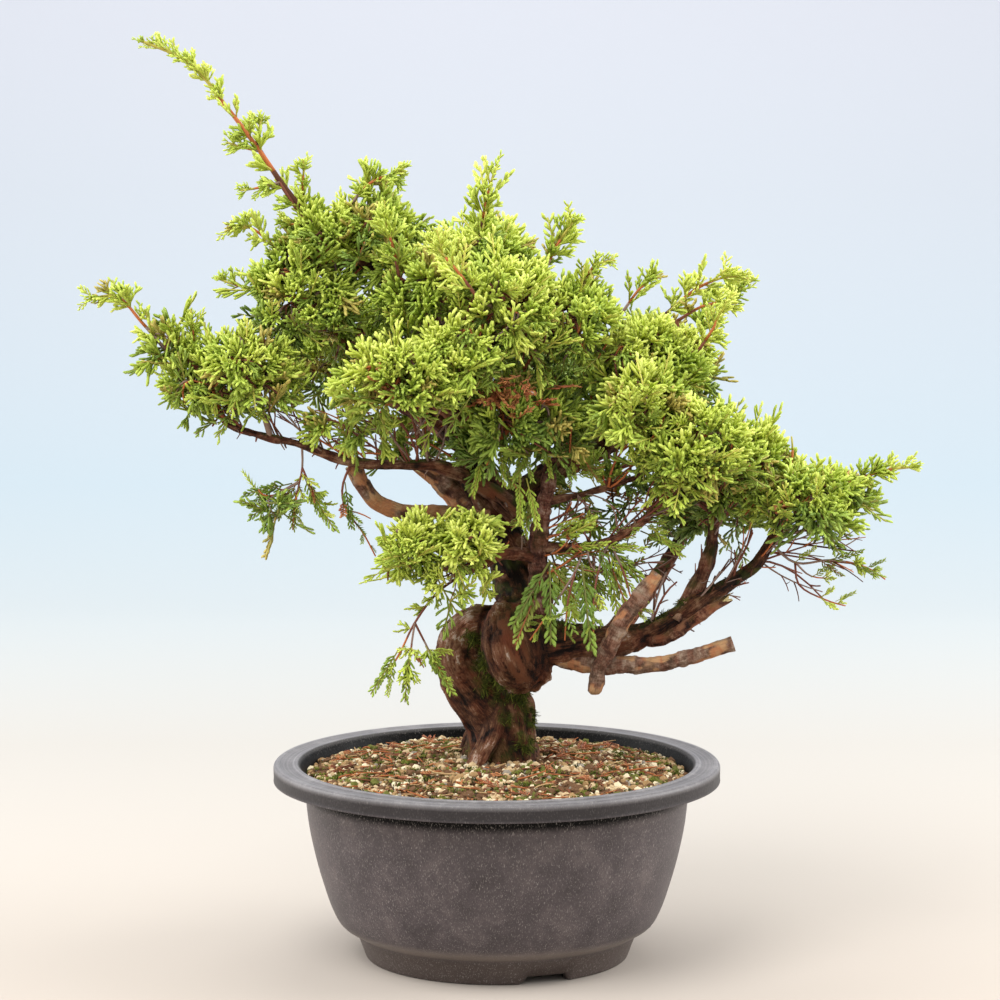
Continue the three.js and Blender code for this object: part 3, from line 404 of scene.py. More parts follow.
random = np.random.default_rng(21)
grain_x, grain_y = scattered(random, GRAIN_COUNT, GRAIN_REACH)
grain_size = np.clip(random.lognormal(math.log(1.5), 0.32, GRAIN_COUNT), 0.8, 3.0)
grain_z = ground_height(grain_x, grain_y) - 1.1 + random.uniform(-0.3, 1.1, GRAIN_COUNT)
grain_shape = grain_size[:, None, None] * random.uniform(0.72, 1.22, (GRAIN_COUNT, 1, 3))
grain_corners = ICO_CORNERS * random.uniform(0.82, 1.12, (GRAIN_COUNT, 12, 1)) * grain_shape
grain_corners = np.einsum("nvk,njk->nvj", grain_corners, random_turns(GRAIN_COUNT, random))
grain_corners += np.stack([grain_x, grain_y, grain_z], axis=-1)[:, None]
grain_faces = copied(ICO_FACES, len(ICO_CORNERS), GRAIN_COUNT)
grain_kind = random.choice(len(GRAIN_FINISHES), GRAIN_COUNT, p=[share for _, _, share in GRAIN_FINISHES])
grain_plan = np.stack([grain_x, grain_y, np.zeros(GRAIN_COUNT)], axis=-1)
grain_drifts = [(MOSSY_GRAIN, 14, 31, 0.45, 0.5), (BROWN_GRAIN, 11, 32, 0.2, 0.55)]
for kind, drift_size, seed, limit, share in grain_drifts:
    drift = value_noise(grain_plan / drift_size, seed) > limit
    grain_kind = np.where(drift & (random.uniform(size=GRAIN_COUNT) < share), kind, grain_kind)
grains = make_mesh(
    "soil_grains",
    grain_corners.reshape(-1, 3),
    (grain_faces,),
    [plain_finish(name, code, 0.9, 0.2) for name, code, _ in GRAIN_FINISHES],
    np.repeat(grain_kind, len(ICO_FACES)),
    smooth=False,
)
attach(grains, "root")
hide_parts("soil")


# The trunk is old juniper wood under red-brown, stringy bark. It leans left out of its root flare, coils over
# and forward into a heavy muscled lobe, and climbs behind it as the leader. The first bough leaves the lobe
# on the right, and the bark runs from one into the other.
TRUNK_STRETCHES = {
    "column": [
        [5, 12, 104, 21], [0, 11, 130, 18.5], [-13, 9, 153, 16.5], [-20, 8, 170, 14], [-15, 5, 182, 12],
        [-2, -2, 187, 12],
    ],
    "leader": [
        [8, -4, 184, 13], [13, 2, 196, 14.5], [12, 8, 211, 13.5], [6, 13, 228, 13.5], [-2, 16, 250, 11.5],
        [-12, 17, 272, 10], [-16, 16, 297, 8.5], [-14, 13, 323, 7], [-9, 11, 348, 5.2], [-9, 8, 373, 3.4],
    ],
    "root_front": [[4, 2, 146, 7], [-3, -6, 126, 6.5], [-14, -15, 106, 4.5]],
    "root_left": [[-6, 12, 130, 8], [-13, 16, 114, 6], [-18, 20, 104, 4]],
    "root_right": [[8, 4, 148, 9], [11, 2, 135, 11], [11, 2, 118, 11], [13, 3, 104, 10]],
    "root_back_right": [[6, 18, 136, 9], [12, 28, 118, 8], [17, 36, 104, 5]],
    "root_back_left": [[-6, 18, 134, 8], [-14, 26, 116, 6], [-20, 32, 104, 4]],
    "bough_right": [
        [20, -11, 178, 13.5], [43, -13, 178, 11], [64, -11, 179, 8.9], [83, -8, 183, 7.2],
        [95, -6, 189, 6.5], [108, -3, 197, 5.8], [119, -1, 204, 4.6], [133, 1, 212, 3.9],
        [145, 3, 221, 3.5], [152, 5, 232, 3.1], [158, 5, 242, 2.8], [163, 5, 256, 2.4],
    ],
}
LOBE_MIDDLE = [11, -11, 177.5]
LOBE_HALF_HEIGHT = 26.5
LOBE_RADIUS = 20.3
LOBE_LEAN_DEGREES = 14
TRUNK_FOOT = 108.6
TRUNK_SIDES = 40
TRUNK_VOXEL = 0.92
TRUNK_PEEL_SHARE = 0.03
# Each limb's bark starts this much further along than the last limb's, so that no two are alike.
LIMB_BARK_SHIFT = 400.0
# Where moss has settled on the wood, and where the ridge of a root is worn pale: [x, y, z, radius].
MOSS_SPOTS = [
    [-11, -7, 181, 8], [-9, -9, 168, 9], [-4, -10, 156, 10], [3, -12, 150, 11], [14, -10, 147, 9],
    [8, -12, 138, 9], [22, -6, 136, 8], [16, -10, 121, 9], [-13, 4, 190, 6], [-24, 4, 185, 4],
    [27, -14, 186, 9], [38, -12, 186, 9], [88, -6, 194, 8], [100, -2, 204, 8], [-12, 14, 150, 10],
]
WORN_SPOTS = [[-10, -15, 115, 6], [-14, -18, 109, 6], [-6, -13, 122, 5]]


def smooth_route(route, spacing):
    """A smooth centripetal curve through rows of [x, y, z, radius], in equal steps of about the spacing.
    Between two points it is a cubic, whose end slopes weigh the chords on either side by the square roots
    of their lengths. The radius runs straight from point to point."""
    rows = np.asarray(route, float)
    spots = rows[:, :3]
    spots = np.vstack([2 * spots[0] - spots[1], spots, 2 * spots[-1] - spots[-2]])
    root = np.sqrt(np.linalg.norm(np.diff(spots, axis=0), axis=1))[:, None, None]
    a, b, c, d = (spots[i : len(spots) - 3 + i, None] for i in range(4))
    before, here, after = root[:-2], root[1:-1], root[2:]
    slope_b = ((b - a) / before - (c - a) / (before + here) + (c - b) / here) * here
    slope_c = ((c - b) / here - (d - b) / (here + after) + (d - c) / after) * here
    t = np.linspace(0, 1, 24, endpoint=False)[None, :, None]
    fine = b + slope_b * t + (3 * (c - b) - 2 * slope_b - slope_c) * t**2
    fine = fine + (2 * (b - c) + slope_b + slope_c) * t**3
    fine = np.vstack([fine.reshape(-1, 3), spots[-2]])
    radius = np.interp(np.linspace(0, len(rows) - 1, len(fine)), np.arange(len(rows)), rows[:, 3])
    run = np.concatenate([[0], np.cumsum(np.linalg.norm(np.diff(fine, axis=0), axis=1))])
    even = np.linspace(0, run[-1], max(2, round(run[-1] / spacing)) + 1)
    return np.stack([np.interp(even, run, column) for column in [*fine.T, radius]], axis=-1)


def unit(vectors):
    """Each vector divided by its length."""
    return vectors / np.maximum(np.linalg.norm(vectors, axis=-1, keepdims=True), 1e-9)


def spokes(centres):
    """Tangent, across and out at each point of each curve: across is the tangent crossed with a direction
    that lies square to the curve's chord, and out completes the right-handed frame."""
    tangent = unit(np.gradient(centres, axis=-2))
    chord = centres[..., -1, :] - centres[..., 0, :]
    square = unit(np.cross(chord, np.eye(3)[np.abs(chord).argmin(axis=-1)]))
    across = unit(np.cross(tangent, square[..., None, :]))
    return tangent, across, np.cross(tangent, across)


def tube_points(centres, radii, sides):
    """Rings round curves: centre + radius (cos(angle) across + sin(angle) out). Centres are (curves, rings,
    3) and radii (curves, rings) or (curves, rings, sides). Each tube's two end middles follow its rings."""
    tangent, across, out = spokes(centres)
    angle = 2 * np.pi * np.arange(sides) / sides
    spoke = np.cos(angle)[:, None] * across[..., None, :] + np.sin(angle)[:, None] * out[..., None, :]
    radii = radii if radii.ndim == 3 else radii[..., None]
    rings = centres[..., None, :] + radii[..., None] * spoke
    tip = centres[:, -1:] + tangent[:, -1:] * radii[:, -1:, :1]
    return np.concatenate([rings.reshape(len(centres), -1, 3), centres[:, :1], tip], axis=1)


def lobe_route():
    """The coil's lobe as a short fat limb: an egg's rings, radius R cos(a) at a height H sin(a)."""
    angle = np.radians(np.linspace(-84, 84, 60))
    lean = math.radians(LOBE_LEAN_DEGREES)
    axis = np.array([-math.sin(lean), 0, math.cos(lean)])
    centres = np.array(LOBE_MIDDLE) + LOBE_HALF_HEIGHT * np.sin(angle)[:, None] * axis
    return np.concatenate([centres, LOBE_RADIUS * np.cos(angle)[:, None]], axis=1)


def straightened(points, routes):
    """Where points near some limbs lie in the wood: the number of the limb whose surface is nearest, its
    place (radius cos(angle), radius sin(angle), length along) with that limb laid straight, the limb's
    radius there, and how much nearer that surface is than the next limb's."""
    gaps = []
    places = []
    sizes = []
    for route in routes:
        centres, radii = route[:, :3], route[:, 3]
        nearest = np.concatenate(
            [
                (np.linalg.norm(block[:, None] - centres[None], axis=-1) - radii).argmin(axis=1)
                for block in np.array_split(points, 1 + len(points) // 8000)
            ]
        )
        _, across, out = spokes(centres)
        offset = points - centres[nearest]
        length = nearest * np.linalg.norm(np.diff(centres, axis=0), axis=1).mean()
        flat = [(offset * across[nearest]).sum(-1), (offset * out[nearest]).sum(-1), length]
        places.append(np.stack(flat, axis=-1))
        gaps.append(np.linalg.norm(offset, axis=-1) - radii[nearest])
        sizes.append(radii[nearest])
    order = np.argsort(gaps, axis=0)
    row = np.arange(len(points))
    lead = np.array(gaps)[order[1], row] - np.array(gaps)[order[0], row]
    return order[0], np.array(places)[order[0], row], np.array(sizes)[order[0], row], lead


def step(value, low, high):
    """0 below low, 1 above high, and 3t^2 - 2t^3 between them."""
    t = np.clip((value - low) / (high - low), 0, 1)
    return t * t * (3 - 2 * t)


def spot_distance(points, spot):
    """Distance from points to a spot [x, y, z, radius], in shares of its radius."""
    return np.linalg.norm(points - spot[:3], axis=1) / spot[3]


def bark_relief(straight, radius, peel_share, seed, twist=0.02, stretch=1.0):
    """Height in mm of stringy bark, and where it has peeled. Hard-edged strips 2.6 mm wide and 12 mm long and
    flakes 5.5 mm wide lie with threads 1 mm wide over lumps and muscle-like swellings 9 mm wide, parted by
    cracks, all turning a little round the limb as they run along it. Stretch scales their length. Bark that
    has peeled leaves smooth wood half a millimetre lower."""
    turn = twist * straight[..., 2]
    x = straight[..., 0] * np.cos(turn) - straight[..., 1] * np.sin(turn)
    y = straight[..., 0] * np.sin(turn) + straight[..., 1] * np.cos(turn)
    run = np.stack([x, y, straight[..., 2] / stretch], axis=-1)
    swelling = value_noise(run / [9, 9, 38], seed)
    lump = value_noise(run / [15, 15, 16], seed + 1) + 0.45 * value_noise(run / [4, 4, 8], seed + 6)
    strip = np.tanh(4 * value_noise(run / [2.6, 2.6, 12], seed + 2))
    thread = value_noise(run / [1, 1, 7], seed + 3)
    patch = value_noise(run / [8, 8, 30], seed + 4) + 0.25 * strip
    peel = step(patch, 0.55 - 1.1 * peel_share, 0.72 - 1.1 * peel_share)
    size = np.clip(radius / 10, 0.12, 1.25)
    crack = step(np.abs(value_noise(run / [5, 5, 24], seed + 7)), 0.14, 0.0)
    flake = np.tanh(5 * value_noise(run / [5.5, 5.5, 8], seed + 8))
    rough = 0.42 * strip + 0.34 * thread + 0.55 * flake - 0.8 * crack
    height = size * (1.3 * swelling + 1.15 * lump) + (1 - 0.8 * peel) * np.sqrt(size) * rough
    return height - 0.45 * peel * np.sqrt(size), peel, run


def juniper_bark(name, deep, middle, high, bare, worn=None):
    """Stringy juniper bark: shredding fibres along the limb, reddened in drifts, with smooth wood where it
    has peeled and moss where it stays damp. Its tone follows the relief value: darkest in the furrows, partly
    the bark's own colour and partly painted shade, and pale on the highest ridges, partly worn and partly
    painted highlight. Dull all over."""
    material = plain_finish(name, middle, 0.85, 0.25)
    shader = material.node_tree.nodes["Principled BSDF"]
    along, relief, peel, damp = (
        add_node(material, "ShaderNodeAttribute", {"attribute_name": key}, {}).outputs[output]
        for key, output in (("straight", "Vector"), ("relief", "Fac"), ("peel", "Fac"), ("moss", "Fac"))
    )
    fibre_size = {"Vector": along, "Scale": (1 / 0.9, 1 / 0.9, 1 / 10)}
    squeezed = add_node(material, "ShaderNodeMapping", {}, fibre_size).outputs["Vector"]
    fibres, patches, drift = (
        add_node(material, "ShaderNodeTexNoise", {}, sockets).outputs["Fac"]
        for sockets in (
            {"Vector": squeezed, "Scale": 1.0, "Detail": 5.0, "Roughness": 0.7, "Distortion": 0.9},
            {"Vector": along, "Scale": 1 / 5, "Detail": 5.0, "Roughness": 0.7},
            {"Vector": along, "Scale": 1 / 11, "Detail": 3.0, "Distortion": 0.5},
        )
    )
    shares = []
    for value, start, full, low, high_end in (
        (fibres, 0.3, 0.7, -0.27, 0.27),
        (patches, 0.3, 0.7, -0.36, 0.36),
        (drift, 0.42, 0.6, 0.0, 0.5),
    ):
        sockets = {"Value": value, "From Min": start, "From Max": full, "To Min": low, "To Max": high_end}
        shares.append(add_node(material, "ShaderNodeMapRange", {}, sockets).outputs["Result"])
    # The tone rises with the relief: the furrows' near-black is partly painted shade, the ridges' pale partly
    # painted highlight.
    tone = relief
    for share in shares[:2]:
        tone = add_node(material, "ShaderNodeMath", {"operation": "ADD"}, {0: tone, 1: share}).outputs[0]
    colour, wood = (
        add_node(material, "ShaderNodeValToRGB", {"stops": stops}, {"Fac": share}).outputs["Color"]
        for share, stops in (
            (tone, [(0.12, deep), (0.5, middle), (0.88, high), (1.0, worn or high)]),
            (fibres, [(0.3, middle), (0.48, bare), (0.75, bare)]),
        )
    )
    for share, over, blend in (
        (peel, wood, "MIX"),
        (shares[2], linear("#e69a80"), "MULTIPLY"),
        (damp, linear("#465218"), "MIX"),
    ):
        settings = {"data_type": "RGBA", "blend_type": blend}
        colour = add_node(material, "ShaderNodeMix", settings, {0: share, 6: colour, 7: over}).outputs[2]
    bump = add_node(material, "ShaderNodeBump", {}, {"Strength": 1.0, "Distance": 0.0012, "Height": fibres})
    material.node_tree.links.new(colour, shader.inputs["Base Color"])
    material.node_tree.links.new(bump.outputs["Normal"], shader.inputs["Normal"])
    return material


trunk_routes = [lobe_route()] + [smooth_route(route, 1.0) for route in TRUNK_STRETCHES.values()]
shafts = [tube_points(route[None, :, :3], route[None, :, 3], TRUNK_SIDES)[0] for route in trunk_routes]
shaft_starts = np.cumsum([0] + [len(shaft) for shaft in shafts[:-1]])
shaft_faces = [
    [faces + start for faces in ring_faces(len(route), TRUNK_SIDES)]
    for route, start in zip(trunk_routes, shaft_starts)
]
blank_faces = [np.concatenate(kind) for kind in zip(*shaft_faces)]
blank = make_mesh("trunk_blank", np.concatenate(shafts), blank_faces, [])
joining = blank.modifiers.new("joining", "REMESH")
joining.mode = "VOXEL"
joining.voxel_size = TRUNK_VOXEL * MM
easing = blank.modifiers.new("easing", "SMOOTH")
easing.factor = 0.5
easing.iterations = 5
depsgraph = bpy.context.evaluated_depsgraph_get()
joined = bpy.data.meshes.new_from_object(blank.evaluated_get(depsgraph))
bpy.data.objects.remove(blank)
trunk_points = np.empty((len(joined.vertices), 3), np.float32)
trunk_normals = np.empty((len(joined.vertices), 3), np.float32)
joined.vertices.foreach_get("co", trunk_points.ravel())
joined.vertices.foreach_get("normal", trunk_normals.ravel())
trunk_quads = np.empty(len(joined.loops), np.int32)
joined.loops.foreach_get("vertex_index", trunk_quads)
trunk_quads = trunk_quads.reshape(-1, 4)
trunk_points = trunk_points.astype(float) / MM

limb_number, straight, limb_radius, lead = straightened(trunk_points, trunk_routes)
straight[:, 2] += LIMB_BARK_SHIFT * limb_number
settled = step(lead, 0.5, 6)
relief, peel, run = bark_relief(straight, limb_radius, TRUNK_PEEL_SHARE, 101, twist=0.012)
peel = peel * settled
relief = relief * (0.35 + 0.65 * settled) - 0.5 * (1 - settled)
moss = np.zeros(len(trunk_points))
for spot in MOSS_SPOTS:
    moss = np.maximum(moss, step(spot_distance(trunk_points, spot), 1.15, 0.45))
ragged = 0.5 + 0.9 * value_noise(trunk_points / 3.2, 77)
upward = step(trunk_normals[:, 2], 0.25, 0.8) * step(trunk_points[:, 2], 150, 170)
low_moss = step(trunk_points[:, 2], 128, 112) * step(value_noise(trunk_points / 9, 78), -0.1, 0.4)
moss_share = np.clip(1.15 * moss * ragged + 0.3 * upward * ragged + 0.45 * low_moss * ragged, 0, 0.92)
trunk_points += trunk_normals * relief[:, None]
# Painted shade: in_shade marks the trunk under the crown, from 196 mm up to 330 mm, and darkens the bark's
# tone there; moss settles there too.
in_shade = step(trunk_points[:, 2], 196, 212) * (trunk_points[:, 2] < 330)
shade_moss = step(value_noise(trunk_points / 8, 79), 0.0, 0.5)
moss_share = np.maximum(moss_share, 0.75 * in_shade * shade_moss * ragged)
worn = np.zeros(len(trunk_points))
for spot in WORN_SPOTS:
    away = spot_distance(trunk_points, spot)
    worn = worn + step(away, 1.1, 0.4)
    moss_share = moss_share * (1 - step(away, 1.1, 0.5))
trunk_bark = juniper_bark("stringy_juniper_bark", "#150a06", "#583521", "#87644a", "#70442c", "#b3a494")
trunk = make_mesh(
    "trunk",
    trunk_points,
    (trunk_quads,),
    [trunk_bark],
    attributes={
        "straight": run,
        # Painted shade lowers the tone under the crown; the worn spots raise it.
        "relief": 0.5 + 0.22 * relief - 0.2 * in_shade + 0.42 * worn,
        "peel": peel,
        "moss": moss_share,
    },
)
foot = bmesh.new()
foot.from_mesh(trunk.data)
bmesh.ops.bisect_plane(
    foot,
    geom=foot.verts[:] + foot.edges[:] + foot.faces[:],
    plane_co=(0, 0, TRUNK_FOOT * MM),
    plane_no=(0, 0, 1),
    clear_inner=True,
)
bmesh.ops.holes_fill(foot, edges=[edge for edge in foot.edges if edge.is_boundary])
foot.to_mesh(trunk.data)
foot.free()
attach(trunk, "root")
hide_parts("trunk", "bough_right")


# Each bough is a tapering limb of the same wood, grown out of the trunk or of a thicker bough with a swollen
# collar. Six are dead or cut back: the stubs have lost most of their bark and end in a sawn face, or in a
# torn one, and the shortened leader keeps its smooth red bark.
BOUGHS = {
    "leader_cut": [
        [17, -9, 186, 9], [24, -7, 205, 6.9], [23, -9, 225, 6.1], [23, -10, 233, 6.2], [25, -10, 250, 4.4],
        [28, -10, 264, 4.1], [30, -9, 282, 3.9],
    ],
    "bough_left": [
        [12, 6, 249, 6], [-9, -4, 266, 4.7], [-31, -11, 277, 3.6], [-54, -15, 278, 2.9], [-84, -17, 281, 2.7],
        [-108, -18, 290, 2.6], [-141, -17, 298, 2.3], [-153, -16, 305, 2],
    ],
    "stub_back_left": [[5, 14, 233, 9], [-14, 20, 249, 8.5], [-29, 22, 264, 7.6], [-41, 23, 272, 5]],
    "stub_left": [
        [-6, 0, 245, 5.4], [-31, -6, 251, 4.4], [-54, -10, 252, 4.5], [-66, -11, 257, 4.9],
        [-72, -12, 264, 4.8], [-80, -13, 278, 4.2],
    ],
    "bough_right_riser": [
        [101, -7, 188, 4.4], [106, -1, 197, 5.2], [112, 4, 209, 4.6], [118, 8, 222, 4], [121, 11, 240, 3.3],
        [120, 12, 256, 2.8], [116, 12, 275, 2.4],
    ],
    "stub_right": [
        [18, -10, 176, 5], [27, -13, 174, 6.2], [51, -19, 168, 5.6], [70, -23, 168, 4.8], [88, -26, 169, 4.5],
        [105, -28, 173, 4.2], [118, -29, 177, 4.1], [130, -29, 181, 4.1],
    ],
    "stub_front": [
        [54, -30, 153, 2], [54, -30, 155, 3.8], [55, -29.5, 160, 4.7], [57, -29.5, 170, 4.9],
        [62, -30, 180, 5], [68, -31, 192, 5.2], [76, -32, 204, 4.9], [84, -32, 215, 4.2], [88, -31, 220, 3.9],
    ],
    "snag_right": [
        [78, -7, 184, 3.4], [88, -12, 180, 3.9], [98, -14, 184, 3.8], [110, -14, 192, 3.4],
        [121, -12, 199, 2.8], [128, -11, 203, 2.2],
    ],
    "bough_mid_right": [
        [24, -10, 232, 3.6], [43, -12, 232, 2.9], [60, -12, 235, 2.6], [76, -10, 243, 2.3], [95, -6, 259, 2],
    ],
    "bough_thin_right": [[27, -9, 257, 2.2], [50, -8, 262, 1.8], [71, -4, 268, 1.5], [89, 0, 275, 1.2]],
    "bough_inner_right": [
        [1, 16, 248, 8.5], [19, 26, 261, 8], [41, 32, 275, 7], [65, 33, 287, 6], [87, 30, 308, 4.8],
        [108, 26, 332, 3.4],
    ],
    "bough_left_upper": [
        [-14, 14, 285, 7], [-34, 8, 302, 5.6], [-56, 2, 321, 4.6], [-78, -3, 340, 3.6], [-95, -5, 355, 2.6],
    ],
    "bough_top_left": [
        [-13, 12, 326, 5.5], [-32, 8, 351, 4.6], [-54, 5, 373, 3.8], [-74, 3, 389, 3], [-91, 2, 398, 2.3],
    ],
    "bough_front": [[-15, 12, 296, 6], [-25, -12, 307, 5], [-36, -32, 317, 4], [-46, -46, 323, 2.8]],
    "bough_top_right": [[-10, 10, 343, 4.6], [10, 2, 349, 3.8], [29, -4, 352, 3], [40, -6, 355, 2.4]],
    "bough_back": [[-7, 20, 262, 7.5], [-11, 48, 277, 6.4], [-17, 78, 297, 5], [-23, 98, 319, 3.6]],
    "bough_back_left": [[-15, 20, 289, 5.6], [-38, 45, 297, 4.8], [-62, 68, 308, 3.8], [-83, 82, 317, 2.8]],
    "bough_back_right": [[13, 30, 259, 5.4], [36, 58, 269, 4.8], [60, 82, 282, 3.8], [83, 98, 297, 2.8]],
    "bough_low_back": [[63, -4, 179, 6.5], [81, 30, 197, 5.6], [98, 54, 216, 4.4], [111, 70, 237, 3.2]],
    "bough_low_left": [[19, -10, 227, 3.4], [4, -16, 229, 2.8], [-10, -24, 223, 2.3], [-23, -30, 220, 1.9]],
}
# How a limb differs from a live one in brown bark: share of bark lost, its end, and its finish.
DEAD_WOOD = {
    "leader_cut": (0.1, "sawn", "red"),
    "stub_back_left": (0.2, "torn", "dead"),
    "stub_left": (0.85, "sawn", "dead"),
    "stub_right": (0.46, "sawn", "dead"),
    "stub_front": (0.16, "sawn", "dead"),
    "snag_right": (0.25, "torn", "mossy"),
}
LIVE_PEEL_SHARE = 0.14
COLLAR_SWELLING = 0.35
# Mesh: steps along a thick limb and a thin one, the width of a side, and the fewest and most sides.
STOUT_STEP, THIN_STEP, FACET, SIDES_RANGE = 1.1, 1.6, 0.95, (12, 56)
SEED_BARK_SHIFT = 500.0
# A live limb thins over its last 8 mm, down to this share.
LIVE_END, LIVE_END_SHARE = 8, 0.35
# The rings of a cut face, in shares of the limb's radius.
CAP_SHARES = [0.97, 0.84, 0.6, 0.32]
# How far noise shifts the last 9 mm of an end, and the rings on a torn one.
SHIFTED_END = 9
END_SHIFTS = {"sawn": 0.25, "torn": 7.0}
SPLINTER_SHIFT = 2.5


def sawn_wood():
    """A sawn end gone pale and dry: tan with wavy growth rings and a cast of greenish algae."""
    material = plain_finish("sawn_juniper_wood", "#c3b183", 0.8, 0.25)
    shader = material.node_tree.nodes["Principled BSDF"]
    along = add_node(material, "ShaderNodeAttribute", {"attribute_name": "straight"}, {}).outputs["Vector"]
    across = add_node(material, "ShaderNodeMapping", {}, {"Vector": along, "Scale": (1.0, 1.0, 0.0)})
    round_middle = {"wave_type": "RINGS", "rings_direction": "SPHERICAL"}
    sockets = {"Scale": 0.4, "Distortion": 2.5, "Detail": 3.0, "Detail Scale": 1.2}
    sockets["Vector"] = across.outputs["Vector"]
    rings = add_node(material, "ShaderNodeTexWave", round_middle, sockets).outputs["Fac"]
    stops = [(0.0, "#a08a58"), (0.5, "#c2b180"), (1.0, "#d3c69a")]
    tones = add_node(material, "ShaderNodeValToRGB", {"stops": stops}, {"Fac": rings})
    material.node_tree.links.new(tones.outputs["Color"], shader.inputs["Base Color"])
    return material


BARK_FINISHES = {
    "live": ("bark", juniper_bark("young_juniper_bark", "#24140e", "#643f2e", "#9c7a60", "#8e6044")),
    "red": ("red_bark", juniper_bark("smooth_red_bark", "#38201a", "#70493b", "#a18474", "#9c8270")),
    "dead": ("deadwood", juniper_bark("bleached_deadwood", "#503b2f", "#7f6452", "#a28e7b", "#b98f66")),
}
BARK_FINISHES["mossy"] = ("deadwood", BARK_FINISHES["live"][1])
cut_face = sawn_wood()


def limb_piece(name, route, peel_share, end, finish, seed):
    """A limb as rings round its route: radius = the route's radius times 1 + swelling exp(-length / root
    radius) at its collar, plus the bark's relief. A sawn end adds rings that close in on a flat face. A torn
    one shifts the last rings along the limb by noise, so that it ends in splinters."""
    rows = smooth_route(route, STOUT_STEP if route[0][3] > 3 else THIN_STEP)
    sides = int(np.clip(2 * np.pi * rows[:, 3].max() / FACET, *SIDES_RANGE))
    length = np.linspace(0, np.linalg.norm(np.diff(rows[:, :3], axis=0), axis=1).sum(), len(rows))
    nominal = rows[:, 3] * (1 + COLLAR_SWELLING * np.exp(-length / rows[0, 3]))
    if end == "live":
        nominal = nominal * np.minimum(1, LIVE_END_SHARE + (length[-1] - length) / LIVE_END)
    angle = 2 * np.pi * np.arange(sides) / sides
    place = round_axis(nominal[:, None], angle, length[:, None]) + [0, 0, SEED_BARK_SHIFT * (seed % 97)]
    radius = np.repeat(nominal[:, None], sides, axis=1)
    relief, peel, run = bark_relief(place, radius, peel_share, seed, stretch=1.0 if finish == "live" else 0.4)
    radius = np.maximum(radius + relief, 0.3 * radius)
    grid = tube_points(rows[None, :, :3], radius[None], sides)[0, :-2].reshape(len(rows), sides, 3)
    tangent = spokes(rows[:, :3])[0]
    far_middle = rows[-1, :3]
    caps = []
    if end != "live":
        splinter = value_noise(run[-1] / [1.6, 1.6, 9], seed + 9)
        near_end = step(length, length[-1] - SHIFTED_END, length[-1])
        shift = END_SHIFTS[end] * splinter[None] * near_end[:, None]
        grid = grid + shift[..., None] * tangent[:, None]
        caps = [far_middle + share * (grid[-1] - far_middle) for share in CAP_SHARES]
    if end == "torn":
        caps = [
            ring + tangent[-1] * SPLINTER_SHIFT * value_noise(ring / 1.7, seed + 10)[:, None] for ring in caps
        ]
    rings = np.concatenate([grid, np.array(caps).reshape(-1, sides, 3)])
    faces = ring_faces(len(rings), sides)
    extra = len(caps)

    def carried_on(values):
        return np.concatenate([values, np.repeat(values[-1:], extra, axis=0)]).reshape(-1, *values.shape[2:])

    run_caps = np.array([run[-1] * [share, share, 1] for share in CAP_SHARES[:extra]])
    run_all = np.concatenate([run, run_caps.reshape(extra, sides, 3)]).reshape(-1, 3)
    ends = [run_all[0] * [0, 0, 1], run_all[-1] * [0, 0, 1]]
    normal_up = (grid[..., 2] - rows[:, None, 2]) / np.maximum(radius, 0.1) + 0.7 * tangent[:, 2:]
    mossy = 0.85 * step(normal_up, 0.35, 0.9) * step(value_noise(grid / 6, seed + 5), -0.1, 0.45)
    mossy = mossy * (1.0 if route[0][3] > 5 else 0.4) * (1.0 if finish in ("live", "mossy") else 0.3)
    where = np.concatenate([rings.reshape(-1, 3), rows[:1, :3], far_middle[None]])
    on_cap = [np.arange(len(faces[0])) >= (len(grid) - 1) * sides, np.arange(2 * sides) >= sides]
    slot, bark = BARK_FINISHES[finish]
    attributes = {
        "straight": np.concatenate([run_all, ends]),
        "relief": np.append(carried_on(0.5 + 0.3 * relief), [0.5, 0.5]),
        "peel": np.append(carried_on(peel), [0, 1]),
        "moss": np.append(carried_on(mossy), [0, 0]),
    }
    material_of = np.concatenate(on_cap) * (extra > 0)
    piece = make_mesh(name, where, faces, [bark, cut_face], material_of, attributes=attributes)
    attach(piece, "root")
    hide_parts(name)


for number, (name, route) in enumerate(BOUGHS.items()):
    peel_share, end, finish = DEAD_WOOD.get(name, (LIVE_PEEL_SHARE, "live", "live"))
    limb_piece(name, route, peel_share, end, finish, 200 + 13 * number)


